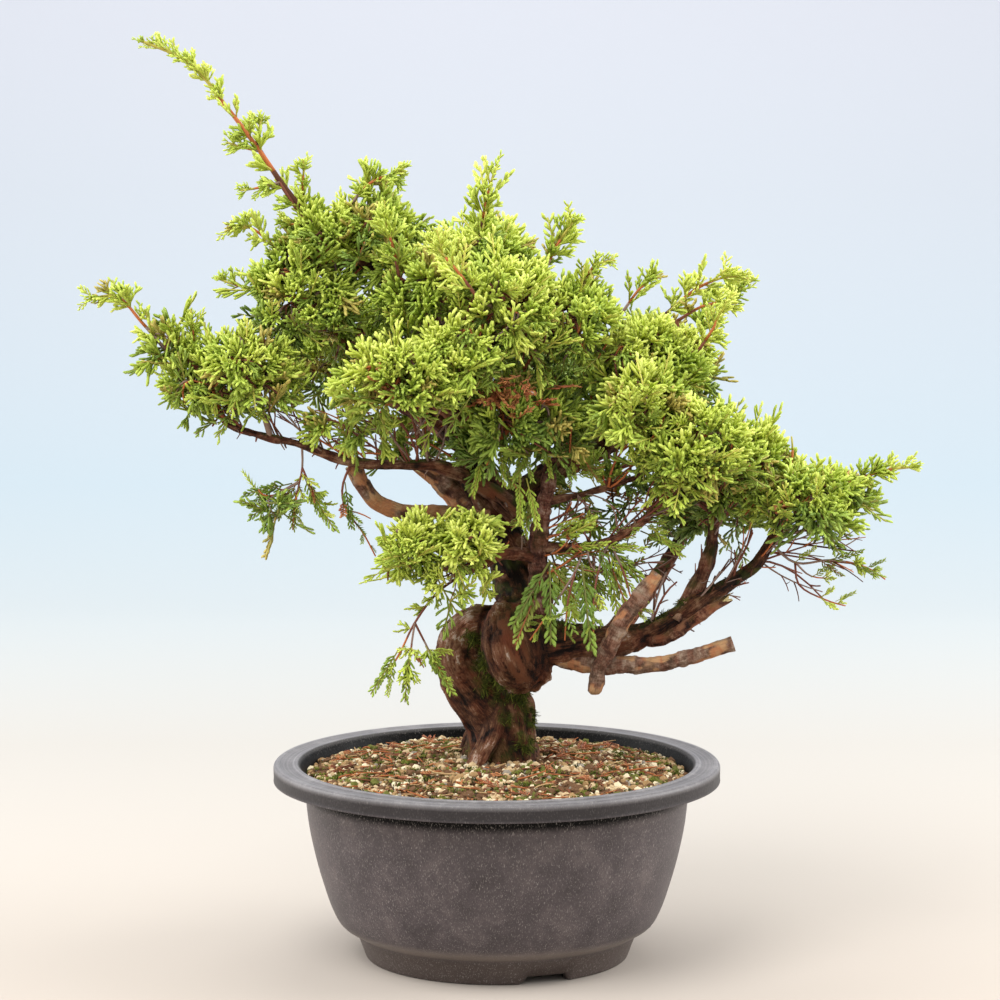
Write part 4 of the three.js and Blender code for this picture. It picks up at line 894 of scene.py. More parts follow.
# The foliage grows in masses. Each grows on one stem from a point on the wood: the stem runs into the mass's
# lobes, where side twigs spread from it and end in fronds. Shoots are long twigs with fronds along them, and
# weak, sparse sprays hang in the shade.
# A lobe's row is its middle, half sizes and density: above 0 dense, 0 open and below 0 sparse. Bare is the
# inner share of a shoot that has lost its green. Feathers are weak sprays, as rows of a foot and a tip, and
# dead fronds cling in tangles, as rows of a middle and a count.
MASSES = {
    "far_left": {
        "colour": "green", "start": [-150, -16, 304],
        "lobes": [[-162, -16, 326, 24, 24, 27, 0.5], [-179, -14, 348, 15, 15, 14, 0]],
        "shoots": [
            [[-182, -14, 342], [-195, -13, 357], [-209, -11, 371], [-229, -10, 368]],
            [[-167, -18, 338], [-166, -20, 354], [-168, -20, 368]],
        ],
    },
    "left_middle": {
        "colour": "bright", "start": [-124, -18, 293], "lobes": [[-135, -26, 333, 32, 27, 29, 0.6]],
    },
    "left_ball": {
        "colour": "green", "start": [-96, -5, 356], "lobes": [[-105, -6, 369, 32, 34, 34, 0.7]],
        "shoots": [
            [[-129, -6, 373], [-144, -6, 377], [-158, -6, 382]],
        ],
    },
    "top_left": {
        "colour": "green", "start": [-92, 2, 399],
        "lobes": [[-97, 4, 397, 27, 32, 24, 0.66], [-67, 6, 405, 27, 32, 27, 0.68]],
        "shoots": [
            [
                [-92, 2, 402], [-114, 0, 427], [-130, -2, 450], [-147, -4, 473], [-168, -5, 498],
                [-199, -6, 512],
            ],
            [[-81, 0, 420], [-69, -2, 433], [-47, -4, 440]],
            [[-130, -2, 450], [-139, -4, 452], [-151, -6, 456]],
            [[-119, -1, 433], [-131, -4, 430], [-144, -6, 428]],
            [[-110, -1, 386], [-123, -4, 399], [-138, -5, 409], [-153, -6, 405]],
            [[-107, -1, 425], [-106, -4, 437], [-106, -5, 449]],
            [[-132, -2, 454], [-130, 0, 464], [-128, 0, 473]],
            [[-100, 0, 412], [-112, -6, 410], [-122, -10, 417]],
        ],
    },
    "crown_left": {
        "colour": "green", "start": [-13, 12, 327], "lobes": [[-38, -10, 371, 31, 34, 33, 0.68]],
        "shoots": [[[-53, -30, 382], [-56, -34, 398], [-60, -36, 412], [-62, -36, 423]]],
    },
    "top": {
        "colour": "green", "start": [-9, 8, 372], "lobes": [[-10, 8, 392, 25, 30, 19, 0.66]],
        "shoots": [[[-10, 6, 398], [-6, 4, 422], [1, 4, 447]]],
    },
    "crown_middle": {
        "colour": "bright", "start": [2, 5, 348], "lobes": [[3, -26, 363, 35, 34, 36, 0.7]],
        "shoots": [[[-10, -52, 372], [-18, -54, 383], [-30, -52, 397], [-41, -46, 408]]],
        "dead": [[-2, -44, 322, 7], [14, -44, 329, 7], [23, -40, 320, 6], [6, -42, 316, 6]],
    },
    "crown_right": {
        "colour": "green", "start": [39, -6, 354], "lobes": [[40, -8, 355, 31, 34, 30, 0.7]],
        "shoots": [
            [[24, -6, 380], [35, -6, 402], [47, -6, 418]],
            [[44, 0, 373], [54, 0, 387], [69, 0, 391]],
            [[68, -4, 360], [81, -4, 377], [95, -4, 385]],
        ],
    },
    "front_bright": {
        "colour": "bright", "start": [-46, -46, 323],
        "lobes": [[-52, -56, 332, 38, 27, 24, 0.6], [-24, -50, 343, 25, 24, 22, 0.56]],
    },
    "left_under": {"colour": "green", "start": [-84, -17, 281], "lobes": [[-80, -24, 305, 27, 20, 12, -1]]},
    "centre_open": {
        "colour": "dark", "start": [-11, 17, 276], "lobes": [[12, -16, 304, 42, 24, 30, 0.3]],
        "feathers": [
            [12, -26, 274, 13, -30, 246], [16, -26, 272, 23, -30, 245], [-8, -28, 285, -14, -30, 262],
            [2, -20, 287, 4, -24, 268], [14, -22, 289, 20, -24, 270], [20, -20, 287, 8, -24, 270],
            [27, -18, 290, 30, -22, 272],
        ],
        "dead": [[-1, -27, 313, 12], [43, -14, 236, 9]],
    },
    "right_middle": {
        "colour": "bright", "start": [107, 26, 331],
        "lobes": [[79, -2, 336, 36, 34, 30, 0.7], [103, 14, 336, 18, 26, 19, 0.56]],
        "shoots": [
            [[92, 24, 357], [113, 23, 374], [130, 22, 380], [144, 22, 378]],
            [[100, 10, 356], [116, 8, 365], [137, 6, 366]],
            [[110, -10, 340], [118, -12, 352], [124, -12, 364], [131, -12, 370]],
        ],
    },
    "right_front": {
        "colour": "bright", "start": [94, -6, 259],
        "lobes": [[107, -30, 289, 37, 32, 32, 0.68], [78, -36, 314, 26, 26, 26, 0.6]],
    },
    "right_pad": {"colour": "green", "start": [116, 12, 275], "lobes": [[131, 8, 277, 36, 35, 31, 0.7]]},
    "far_right": {
        "colour": "green", "start": [163, 5, 255],
        "lobes": [[168, -6, 260, 34, 33, 23, 0.66], [194, 6, 262, 18, 20, 15, 0]],
        "shoots": [
            [[196, 4, 266], [214, 2, 273], [236, 0, 276]],
            [[163, 0, 274], [164, 0, 284], [163, 0, 296]],
        ],
    },
    "low_right": {
        "colour": "green", "start": [151, 5, 234], "bare": 0.55,
        "feathers": [
            [184, -4, 224, 203, -6, 228], [196, -4, 222, 212, -6, 214], [176, 10, 213, 190, 8, 222],
            [188, -2, 200, 200, -4, 206], [166, 0, 222, 178, -6, 232], [205, -4, 219, 216, -6, 224],
            [178, -3, 224, 192, -8, 214],
        ],
        "shoots": [
            [[151, 5, 234], [166, 0, 222], [186, -4, 224], [205, -4, 220], [219, -4, 211]],
            [[166, 0, 222], [176, 10, 213], [192, 14, 211]],
            [[166, 0, 222], [168, -2, 210], [184, -2, 201], [198, -2, 197]],
        ],
    },
    "low_left": {
        "colour": "bright", "start": [-23, -30, 220],
        "lobes": [
            [-46, -42, 239, 18, 24, 19, 0.56], [-17, -40, 240, 19, 24, 19, 0.56],
            [-24, -40, 221, 26, 16, 7, -1],
        ],
    },
    "hanging_low": {
        "colour": "green", "start": [-10, -24, 223], "bare": 0.3,
        "shoots": [
            [[-10, -24, 223], [-31, -30, 211], [-45, -32, 193], [-54, -33, 175], [-66, -34, 157]],
            [[-45, -32, 193], [-47, -36, 179], [-49, -36, 154]],
            [[-45, -32, 193], [-36, -30, 175], [-25, -30, 156]],
        ],
        "feathers": [
            [-53, -33, 180, -69, -34, 154], [-47, -36, 180, -51, -36, 151], [-38, -31, 180, -25, -30, 153],
            [-56, -33, 172, -60, -35, 152],
        ],
    },
    "hanging_left": {
        "colour": "green", "start": [-109, -18, 269], "bare": 0.25,
        "lobes": [[-124, -18, 261, 17, 14, 13, -1]],
        "shoots": [
            [[-107, -18, 289], [-107, -18, 277], [-110, -18, 262], [-112, -18, 243]],
            [[-107, -18, 277], [-102, -20, 266], [-92, -22, 243]],
        ],
        "feathers": [
            [-104, -20, 270, -89, -22, 243], [-112, -18, 268, -139, -20, 262],
            [-112, -18, 266, -135, -22, 250], [-114, -18, 262, -126, -22, 243],
            [-110, -18, 264, -113, -20, 243], [-106, -18, 272, -97, -20, 250],
            [-122, -18, 265, -137, -24, 256], [-109, -18, 270, -120, -16, 250],
        ],
    },
    "hanging_middle": {
        "colour": "dark", "start": [-80, -17, 280], "bare": 0.3,
        "shoots": [
            [[-80, -17, 280], [-85, -19, 266], [-83, -20, 254], [-74, -21, 242], [-65, -22, 225]],
            [[-83, -20, 254], [-74, -24, 252], [-66, -26, 248]],
        ],
        "feathers": [[-83, -20, 270, -81, -22, 243]],
    },
    "needles_front": {
        "colour": "dark", "start": [48, -12, 231], "bare": 0.5,
        "shoots": [
            [[48, -12, 231], [43, -24, 220], [32, -32, 204], [16, -37, 181]],
            [[43, -24, 220], [39, -33, 205], [37, -36, 180]],
        ],
        "feathers": [
            [29, -30, 227, 6, -38, 190], [29, -30, 226, 30, -38, 182], [24, -30, 216, 10, -40, 182],
            [47, -30, 226, 52, -38, 179], [49, -32, 206, 35, -38, 200],
        ],
    },
    "needles_right": {
        "colour": "green", "start": [62, -12, 236], "bare": 0.5,
        "shoots": [
            [[62, -12, 236], [56, -24, 221], [53, -34, 205], [53, -39, 180]],
            [[62, -12, 236], [70, -20, 219], [75, -26, 203], [83, -26, 192]],
        ],
        "feathers": [[55, -20, 236, 64, -26, 210], [80, 8, 226, 92, 4, 244]],
    },
    "inner_right": {
        "colour": "dark", "start": [62, 33, 286], "lobes": [[64, 18, 264, 38, 28, 27, -1]], "copies": 2,
        "feathers": [
            [28, -12, 234, 52, -16, 250], [28, -12, 234, 58, -12, 242], [30, -12, 232, 62, -14, 231],
            [29, -12, 231, 57, -16, 217], [28, -12, 228, 51, -18, 203], [28, -12, 226, 43, -20, 193],
            [57, -10, 234, 79, -10, 245], [57, -10, 234, 84, -8, 231], [57, -10, 232, 79, -12, 209],
            [56, -8, 228, 70, -14, 198], [79, -8, 248, 96, -8, 242], [79, -8, 246, 100, -6, 229],
            [79, -8, 250, 106, -10, 259], [34, -10, 236, 47, -12, 247], [40, 4, 226, 60, 4, 216],
            [60, 6, 216, 78, 6, 226], [48, 2, 216, 62, 0, 204], [46, -8, 222, 57, -10, 196],
            [50, -6, 224, 60, -6, 204], [38, -12, 218, 50, -14, 196], [20, -12, 262, 14, -16, 240],
            [22, -14, 252, 10, -16, 244], [16, -16, 290, 8, -20, 266], [6, -18, 284, 10, -20, 268],
            [56, -6, 268, 44, -10, 284], [60, -8, 268, 52, -12, 290], [40, -14, 284, 42, -18, 266],
            [48, -14, 282, 55, -16, 268], [44, -14, 272, 60, -16, 272],
        ],
    },
    "back_centre": {"colour": "green", "start": [-23, 98, 319], "lobes": [[-24, 95, 339, 42, 34, 36, 0.7]]},
    "back_left": {"colour": "green", "start": [-83, 82, 317], "lobes": [[-87, 82, 337, 42, 36, 33, 0.7]]},
    "back_right": {
        "colour": "bluish", "start": [83, 98, 297], "lobes": [[89, 92, 321, 41, 34, 33, 0.7]],
        "shoots": [[[112, 90, 340], [127, 88, 358], [150, 86, 377]]],
    },
    "back_low_right": {
        "colour": "bluish", "start": [111, 70, 237], "lobes": [[124, 70, 254, 37, 34, 27, 0.66]],
    },
    "back_top": {"colour": "green", "start": [-10, 11, 351], "lobes": [[-10, 54, 383, 40, 32, 32, 0.68]]},
    "back_low_left": {"colour": "dark", "start": [-38, 45, 297], "lobes": [[-54, 72, 286, 35, 32, 18, -1]]},
    "back_middle": {"colour": "bluish", "start": [37, 60, 269], "lobes": [[34, 76, 308, 42, 34, 34, 0.68]]},
}
# Share of a mass's fronds that are young needle shoots in place of cords.
YOUNG_SHARE = {
    "needles_front": 0.7, "needles_right": 0.6, "hanging_left": 0.5, "hanging_middle": 0.7,
    "hanging_low": 0.2, "centre_open": 0.12, "inner_right": 0.15,
}
AREA_PER_TWIG = 250
TWIGS_PER_LIMB = 8
# The usual length of a tuft, to which the others are scaled, and of a shoot with fronds of full size.
FROND_LENGTH = 20
FULL_SHOOT = 48
# A shoot whose inner share is barer than this is weak.
WEAK_FROM = 0.2
# Fronds beside each fine twig: how far along it, on which hand, how much more shaded, and how many have one.
SIDE_FRONDS = [(0.9, 1, 0.1, 1.0), (0.62, -1, 0.35, 1.0), (0.3, 1, 1.1, 0.45)]
# Share of those twigs that a lobe has, how stout they are, and the least density it goes with.
TWIG_SHARES = [(0.01, 1, 1.0), (0, 0.62, 0.55), (-1, 0.3, 0.55)]
LIMB_CLEARANCE = 1.2

# Each tint gives the colours of a frond's stalk, cords and growing tips, from shaded to sunlit.
TINTS = {
    "shade": ("#6f7033", "#6c8433", "#82993c"),
    "deep": ("#8c873b", "#869b3b", "#9db347"),
    "leaf": ("#a8a246", "#a2b643", "#b9cb52"),
    "spring": ("#bcb650", "#b7c64c", "#cddb60"),
    "lime": ("#ccc45a", "#c9d458", "#dfe872"),
    "bluish": ("#87894e", "#7f964a", "#9fb25c"),
    "olive": ("#a8904a", "#a39a4a", "#c0b05a"),
    "withered": ("#8a5230", "#a8603a", "#bd7d4c"),
    "dying": ("#a5623a", "#84893c", "#9aa848"),
}
TINT_NAMES = list(TINTS)
# How far a mass's tints move along the scale from shade to sunlit: painted light on the bright masses at the
# front and painted shade on the dark ones inside and under the crown; the bluish ones at the back sit a
# little lower.
MASS_BRIGHTNESS = {"bright": 0.9, "green": 0.1, "dark": -1.0, "bluish": -0.5}
frond_finishes = [
    plain_finish(f"juniper_{part}_{tint}", code, 0.5, 0.35)
    for tint, codes in TINTS.items()
    for part, code in zip(("stalk", "cord", "tip"), codes)
]
twig_finishes = [
    plain_finish("red_brown_twig", "#7d4838", 0.75, 0.3),
    plain_finish("grey_brown_twig", "#8d7468", 0.85, 0.2),
    plain_finish("orange_brown_twig", "#b8683a", 0.7, 0.3),
    plain_finish("dark_twig", "#5c3a2b", 0.85, 0.2),
    plain_finish("yellow_green_stem", "#b4a84a", 0.6, 0.3),
]


def tube_block(centres, radii, sides, parts):
    """Points, triangles and part numbers of thin closed tubes: rings as in tube_points, a fan to a rounded
    tip at the far end, and a flat near end, which is hidden in what carries it. Radii fit (tubes, rings),
    and parts holds each tube's number."""
    count, rings = centres.shape[:2]
    around = tube_points(centres, np.broadcast_to(radii, (count, rings)), sides)
    points = np.delete(around, rings * sides, axis=1)
    quads, fans = ring_faces(rings, sides)
    near = np.array([[0, j + 1, j] for j in range(1, sides - 1)])
    one = np.concatenate([quads[:, :3], quads[:, [0, 2, 3]], near, fans[sides:] - [1, 0, 0]])
    return points.reshape(-1, 3), copied(one, points.shape[1], count), np.repeat(parts, len(one))


def gathered(blocks):
    """Joins blocks of points, triangles and part numbers into one, with the corner numbers moved on."""
    points = np.concatenate([block[0] for block in blocks])
    offsets = np.cumsum([0] + [len(block[0]) for block in blocks[:-1]])
    faces = np.concatenate([block[1] + offset for block, offset in zip(blocks, offsets)])
    return points, faces, np.concatenate([block[2] for block in blocks])


def block_mesh(name, block, materials):
    """A mesh object from one block, whose part numbers say which material each triangle has."""
    points, faces, parts = block
    return make_mesh(name, points, (faces,), materials, parts)


def arc(length, share, lift):
    """Points on a stalk along x, at shares of its length, that lifts by lift L t^2."""
    return np.stack([length * share, 0 * share, lift * length * share**2], axis=-1)


def cord_block(starts, ways, lengths, radius, curl, pale):
    """Cords of scale leaves, three-sided tubes of even width with a blunt tip: centre = start + L t way +
    curl L t^2 x. Pale gives each cord's colour: 0 is green and 1 the growing tip's colour."""
    t = np.array([0, 0.78, 0.97])
    centres = starts[:, None] + ways[:, None] * (lengths[:, None] * t)[..., None]
    centres[..., 0] += curl * lengths[:, None] * t**2
    return tube_block(centres, radius * np.array([0.88, 1.06, 0.82]), 3, 1 + np.asarray(pale, int))


def stalk_block(length, lift, radii):
    """A frond's stalk, with one radius for each of its rings."""
    return tube_block(arc(length, np.linspace(0, 1, len(radii)), lift)[None], radii, 3, [0])


def tuft(seed):
    """A growing tuft: four or five forks fan out from a short stalk and curve round towards the light. Each
    carries three short side cords in turn, about 40 degrees off, like a small coral. In mm, x along the stalk
    and z up."""
    random = np.random.default_rng(seed)
    forks = 4 + seed % 2
    around = 2 * np.pi * (np.arange(forks) + random.uniform(-0.25, 0.25, forks)) / forks
    lean = np.radians(random.uniform(20, 52, forks))
    outwards = [np.cos(lean), np.sin(lean) * np.cos(around), 0.75 * np.sin(lean) * np.sin(around)]
    way = np.stack(outwards, axis=-1)
    root = np.stack([random.uniform(0.5, 6.5, forks), 0 * lean, 0 * lean], axis=-1)
    reach = random.uniform(8.5, 13, forks)
    curl = 0.14
    stalk = stalk_block(8, 0.05, 0.8 * np.array([1.0, 0.95, 0.85]))
    cords = cord_block(root, way, reach, 1.0, curl, random.uniform(size=forks) < 0.4)
    share = np.tile([0.36, 0.6, 0.84], forks)[:, None] * random.uniform(0.88, 1.05, (3 * forks, 1))
    run, parent_reach = np.repeat(way, 3, axis=0), np.repeat(reach, 3)[:, None]
    twin_root = np.repeat(root, 3, axis=0) + run * share * parent_reach
    twin_root[:, :1] += curl * parent_reach * share**2
    hand = np.tile([1.0, -1.0, 1.0], forks)[:, None]
    square = unit(np.cross(run, np.repeat(random.normal(size=(forks, 3)), 3, axis=0))) * hand
    twin_way = unit(run + 0.85 * square + random.normal(0, 0.15, run.shape) + [0.25, 0, 0])
    twin_reach = random.uniform(3.4, 6.6, 3 * forks)
    pale = random.uniform(size=3 * forks) < 0.35 + 0.5 * (share[:, 0] > 0.7)
    return gathered([stalk, cords, cord_block(twin_root, twin_way, twin_reach, 1.0, 0.25, pale)])


def spray(seed, length, forks, pale_from, radius, reach_share=0.42):
    """A flat spray: cords leave a long stalk left and right in turn, reach_share of its length long at its
    foot and half that at its tip, and each forks once. Beyond the share pale_from they are growing tips."""
    random = np.random.default_rng(seed)
    share = 0.16 + 0.8 * (np.arange(forks) + random.uniform(0.1, 0.9, forks)) / forks
    root = arc(length, share, 0.12)
    side = np.where(np.arange(forks) % 2, 1.0, -1.0)
    spread = np.radians(random.uniform(36, 54, forks))
    way = np.stack([np.cos(spread), side * np.sin(spread), random.normal(0.1, 0.25, forks)], axis=-1)
    reach = length * reach_share * (1 - 0.52 * share) * random.uniform(0.8, 1.2, forks)
    pale = share > pale_from
    stalk = stalk_block(length, 0.12, 0.85 * radius * np.array([1.0, 0.95, 0.85]))
    twin_root = root + unit(way) * (reach * random.uniform(0.3, 0.5, forks))[:, None]
    twin_way = unit(way + random.normal(0, 0.25, (forks, 3)) + [0.9, 0, 0.35])
    cords = cord_block(root, unit(way), reach, radius, 0.2, pale)
    return gathered([stalk, cords, cord_block(twin_root, twin_way, 0.6 * reach + 1.4, radius, 0.1, pale)])


def young_shoot(length, seed):
    """A young shoot: a thin stem with whorls of three needles every 1.7 mm, each whorl turned half a step
    from the last. A needle is a three-sided spike, shorter towards the tip."""
    random = np.random.default_rng(seed)
    whorls = int(length / 1.7)
    stem = stalk_block(length, -0.12, [0.5, 0.45, 0.4, 0.3])
    step_number = np.repeat(np.arange(whorls), 3)
    turn = 2 * np.pi * (np.tile(np.arange(3), whorls) / 3 + step_number / 6)
    turn = turn + random.normal(0, 0.2, 3 * whorls)
    share = (step_number + 0.5) / whorls
    root = arc(length, share, -0.12)
    lean = np.radians(random.uniform(38, 58, 3 * whorls)) * (1 - 0.35 * share)
    way = np.stack([np.cos(lean), np.sin(lean) * np.cos(turn), np.sin(lean) * np.sin(turn)], axis=-1)
    reach = (6.2 - 2.2 * share) * random.uniform(0.8, 1.15, 3 * whorls)
    left = unit(np.cross(way, [1.0, 0.01, 0.02]))
    flat = np.cross(way, left)
    foot = [root + 0.6 * left, root - 0.4 * left + 0.5 * flat, root - 0.4 * left - 0.5 * flat]
    needle = np.stack([*foot, root + way * reach[:, None]], axis=1).reshape(-1, 3)
    one = np.array([[0, 1, 3], [1, 2, 3], [2, 0, 3], [0, 2, 1]])
    pale = np.repeat(np.where(share > 0.6, 2, 1), len(one))
    return gathered([stem, (needle, copied(one, 4, 3 * whorls), pale)])


TUFTS = [tuft(300 + k) for k in range(6)]
SPRAYS = [spray(320 + k, 22 + 2 * k, 6, 0.72, 0.8) for k in range(4)]
PLUMES = [spray(330 + k, 19 + k, 6, 0.1, 1.0) for k in range(3)]
YOUNG = [young_shoot(22 + 3 * k, 340 + k) for k in range(2)] + [spray(345, 24, 11, 0.7, 0.8, 0.24)]
FEATHER_LENGTH = 38
FEATHERS = [spray(350 + k, FEATHER_LENGTH, 18, 0.75, 0.78, 0.16) for k in range(3)]
TEMPLATES = TUFTS + SPRAYS + PLUMES + YOUNG + FEATHERS
FIRST_SPRAY = len(TUFTS)
FIRST_PLUME = FIRST_SPRAY + len(SPRAYS)
FIRST_YOUNG = FIRST_PLUME + len(PLUMES)
FIRST_FEATHER = FIRST_YOUNG + len(YOUNG)


def stamped(fronds):
    """Sets out fronds: each template's points turned into frames (heading, left, up) and moved to the
    roots. Gives the points, triangles and material numbers of all of them."""
    blocks = []
    for number, (points, faces, part) in enumerate(TEMPLATES):
        mine = fronds["template"] == number
        if not mine.any():
            continue
        heading = unit(fronds["heading"][mine])
        left = unit(np.cross(fronds["up"][mine], heading))
        axes = np.stack([heading, left, np.cross(heading, left)], axis=1)
        axes = axes * fronds["scale"][mine][:, None, None]
        placed = fronds["root"][mine][:, None] + np.einsum("vk,nkj->nvj", points, axes)
        colour = 3 * fronds["tint"][mine][:, None] + part[None]
        blocks.append((placed.reshape(-1, 3), copied(faces, len(points), mine.sum()), colour.ravel()))
    return gathered(blocks)


def golden_directions(count, turn):
    """Directions spread evenly by the golden angle, fewer of them underneath: heights from 1 down to -0.72
    in equal steps, each turned on from the last by pi (3 - sqrt(5))."""
    number = np.arange(count)
    height = 1 - 1.72 * (number + 0.5) / count
    return round_axis(np.sqrt(1 - height**2), number * math.pi * (3 - math.sqrt(5)) + turn, height)


def nearest_lobe(lobes, points):
    """Least distance from each point to the lobes' middles, in shares of their half sizes."""
    least = np.full(len(points), np.inf)
    for row in lobes:
        least = np.minimum(least, np.linalg.norm((points - row[:3]) / row[3:6], axis=-1))
    return least


def bends(start, middle, end, rings):
    """Quadratic curves (1-t)^2 start + 2t(1-t) middle + t^2 end, as (curves, rings, 3)."""
    t = np.linspace(0, 1, rings)[None, :, None]
    return (1 - t) ** 2 * start[:, None] + 2 * t * (1 - t) * middle[:, None] + t**2 * end[:, None]


def chosen_tints(brightness, random):
    """Tint numbers from brightness, 0 for shade up to 4 for lime, with a few olive and withered ones."""
    tint = np.clip(np.round(brightness), 0, 4).astype(int)
    chance = random.uniform(size=len(tint))
    tint = np.where(chance < 0.05, TINT_NAMES.index("olive"), tint)
    return np.where((chance > 0.985) & (brightness < 2), TINT_NAMES.index("withered"), tint)


def frond_rows(root, heading, up, template, scale, tint):
    """The table that stamped() reads."""
    return {"root": root, "heading": heading, "up": up, "template": template, "scale": scale, "tint": tint}


def joined_rows(tables):
    """Several tables of fronds as one."""
    return {key: np.concatenate([table[key] for table in tables]) for key in tables[0]}


def kept_rows(table, kept):
    """The rows of a table that are kept."""
    return {key: value[kept] for key, value in table.items()}


def lobe_growth(row, start, brightness, bluish, young, random):
    """The twigs and fronds of one lobe. The main twig crosses it. One side twig for every eight fine ones
    leaves it for a place spread by the golden angle at 0.5 to 0.66 of the lobe's reach, and fine twigs bend
    from these to its surface. Each fine twig ends in a frond and carries two more on its sides and often one
    further in."""
    middle, size, density = np.array(row[:3], float), np.array(row[3:6], float), row[6]
    direction = unit(middle - start)
    reach = 1 / np.linalg.norm(direction / size)
    entry = middle - direction * min(0.6 * reach, 0.7 * np.linalg.norm(start - middle))
    exit_point = middle + 0.6 * reach * direction
    main = bends(start[None], entry[None], exit_point[None], 9)
    a, b, c = size
    area = 4 * math.pi * (a * b + b * c + c * a) / 3
    twig_share, stout = next(given for least, *given in TWIG_SHARES if density >= least)
    count = round(area / AREA_PER_TWIG * twig_share)
    limbs = max(6, round(count / TWIGS_PER_LIMB))
    limb_way = golden_directions(limbs, random.uniform(0, 6))
    limb_end = middle + limb_way * size * random.uniform(0.5, 0.66, (limbs, 1))
    share = np.clip(((limb_end - entry) @ direction - 6) / np.linalg.norm(exit_point - entry), 0.04, 0.96)
    limb_foot = entry + share[:, None] * (exit_point - entry)
    limb_bend = 0.5 * (limb_foot + limb_end) + direction * 3 + random.normal(0, 2, (limbs, 3))
    limb_curves = bends(limb_foot, limb_bend, limb_end, 6)
    way = golden_directions(count, random.uniform(0, 6))
    way = unit(way + random.normal(0, 0.07, way.shape))
    home = (way @ limb_way.T).argmax(axis=1)
    ring = random.integers(2, 6, count)
    foot = limb_curves[home, ring]
    outward = unit(way * size)
    length = random.uniform(15, 21, count)
    hollows = value_noise(way * 1.6 + middle / 7, 5)
    shell = 0.9 + 0.14 * hollows + random.uniform(-0.09, 0.1, count)
    surface = middle + way * size * shell[:, None]
    heading = unit(outward + [0, 0, 0.8] + random.normal(0, 0.34, (count, 3)))
    end = surface - heading * (0.82 * length)[:, None]
    lean = unit(unit(limb_end - limb_foot)[home] + outward)
    bend = foot + 0.55 * np.linalg.norm(end - foot, axis=1)[:, None] * lean
    twigs = [
        (main, 1.9 * stout, 1.1 * stout, 6, None),
        (limb_curves, stout, 0.7 * stout, 5, None),
        (bends(foot, bend, end, 4), 0.7 * stout, 0.62 * stout, 3, None),
    ]
    # Painted light: fronds facing up get tints towards sunlit and those facing down towards shade, with a
    # random spread.
    level = 2.0 + brightness + 1.35 * way[:, 2] + random.normal(0, 0.65, count)
    below = way[:, 2] < -0.25
    roll = unit(np.array([0, 0, 1.0]) + random.normal(0, 0.45, (count, 3)))

    def kinds(number, low):
        tuft = random.integers(0, FIRST_SPRAY, number)
        flat = random.integers(FIRST_SPRAY, FIRST_PLUME, number)
        needle = random.integers(FIRST_YOUNG, FIRST_FEATHER, number)
        picked = np.where(random.uniform(size=number) < np.where(low, 0.8, 0.12), flat, tuft)
        return np.where(random.uniform(size=number) < young, needle, picked)

    scale = length / FROND_LENGTH
    tables = [frond_rows(end, heading, roll, kinds(count, below), scale, chosen_tints(level, random))]
    for place, hand, inner, share in SIDE_FRONDS:
        t = np.clip(random.normal(place, 0.07, count), 0.1, 0.97)[:, None]
        root = (1 - t) ** 2 * foot + 2 * t * (1 - t) * bend + t**2 * end
        run = unit(end - foot)
        square = unit(np.cross(run, random.normal(size=(count, 3)) + [0, 0, 1.5])) * hand
        side_way = unit(0.75 * run + 0.75 * square + 0.35 * outward + [0, 0, 0.25])
        kept = random.uniform(size=count) < share
        tint = chosen_tints(level - inner - random.uniform(0, 0.6, count), random)
        size_share = scale * random.uniform(0.75, 1.05, count)
        table = frond_rows(root, side_way, roll, kinds(count, below), size_share, tint)
        tables.append(kept_rows(table, kept))
    fronds = joined_rows(tables)
    if bluish:
        swap = (fronds["tint"] < 4) & (random.uniform(size=len(fronds["tint"])) < 0.6)
        fronds["tint"] = np.where(swap, TINT_NAMES.index("bluish"), fronds["tint"])
    return twigs, fronds


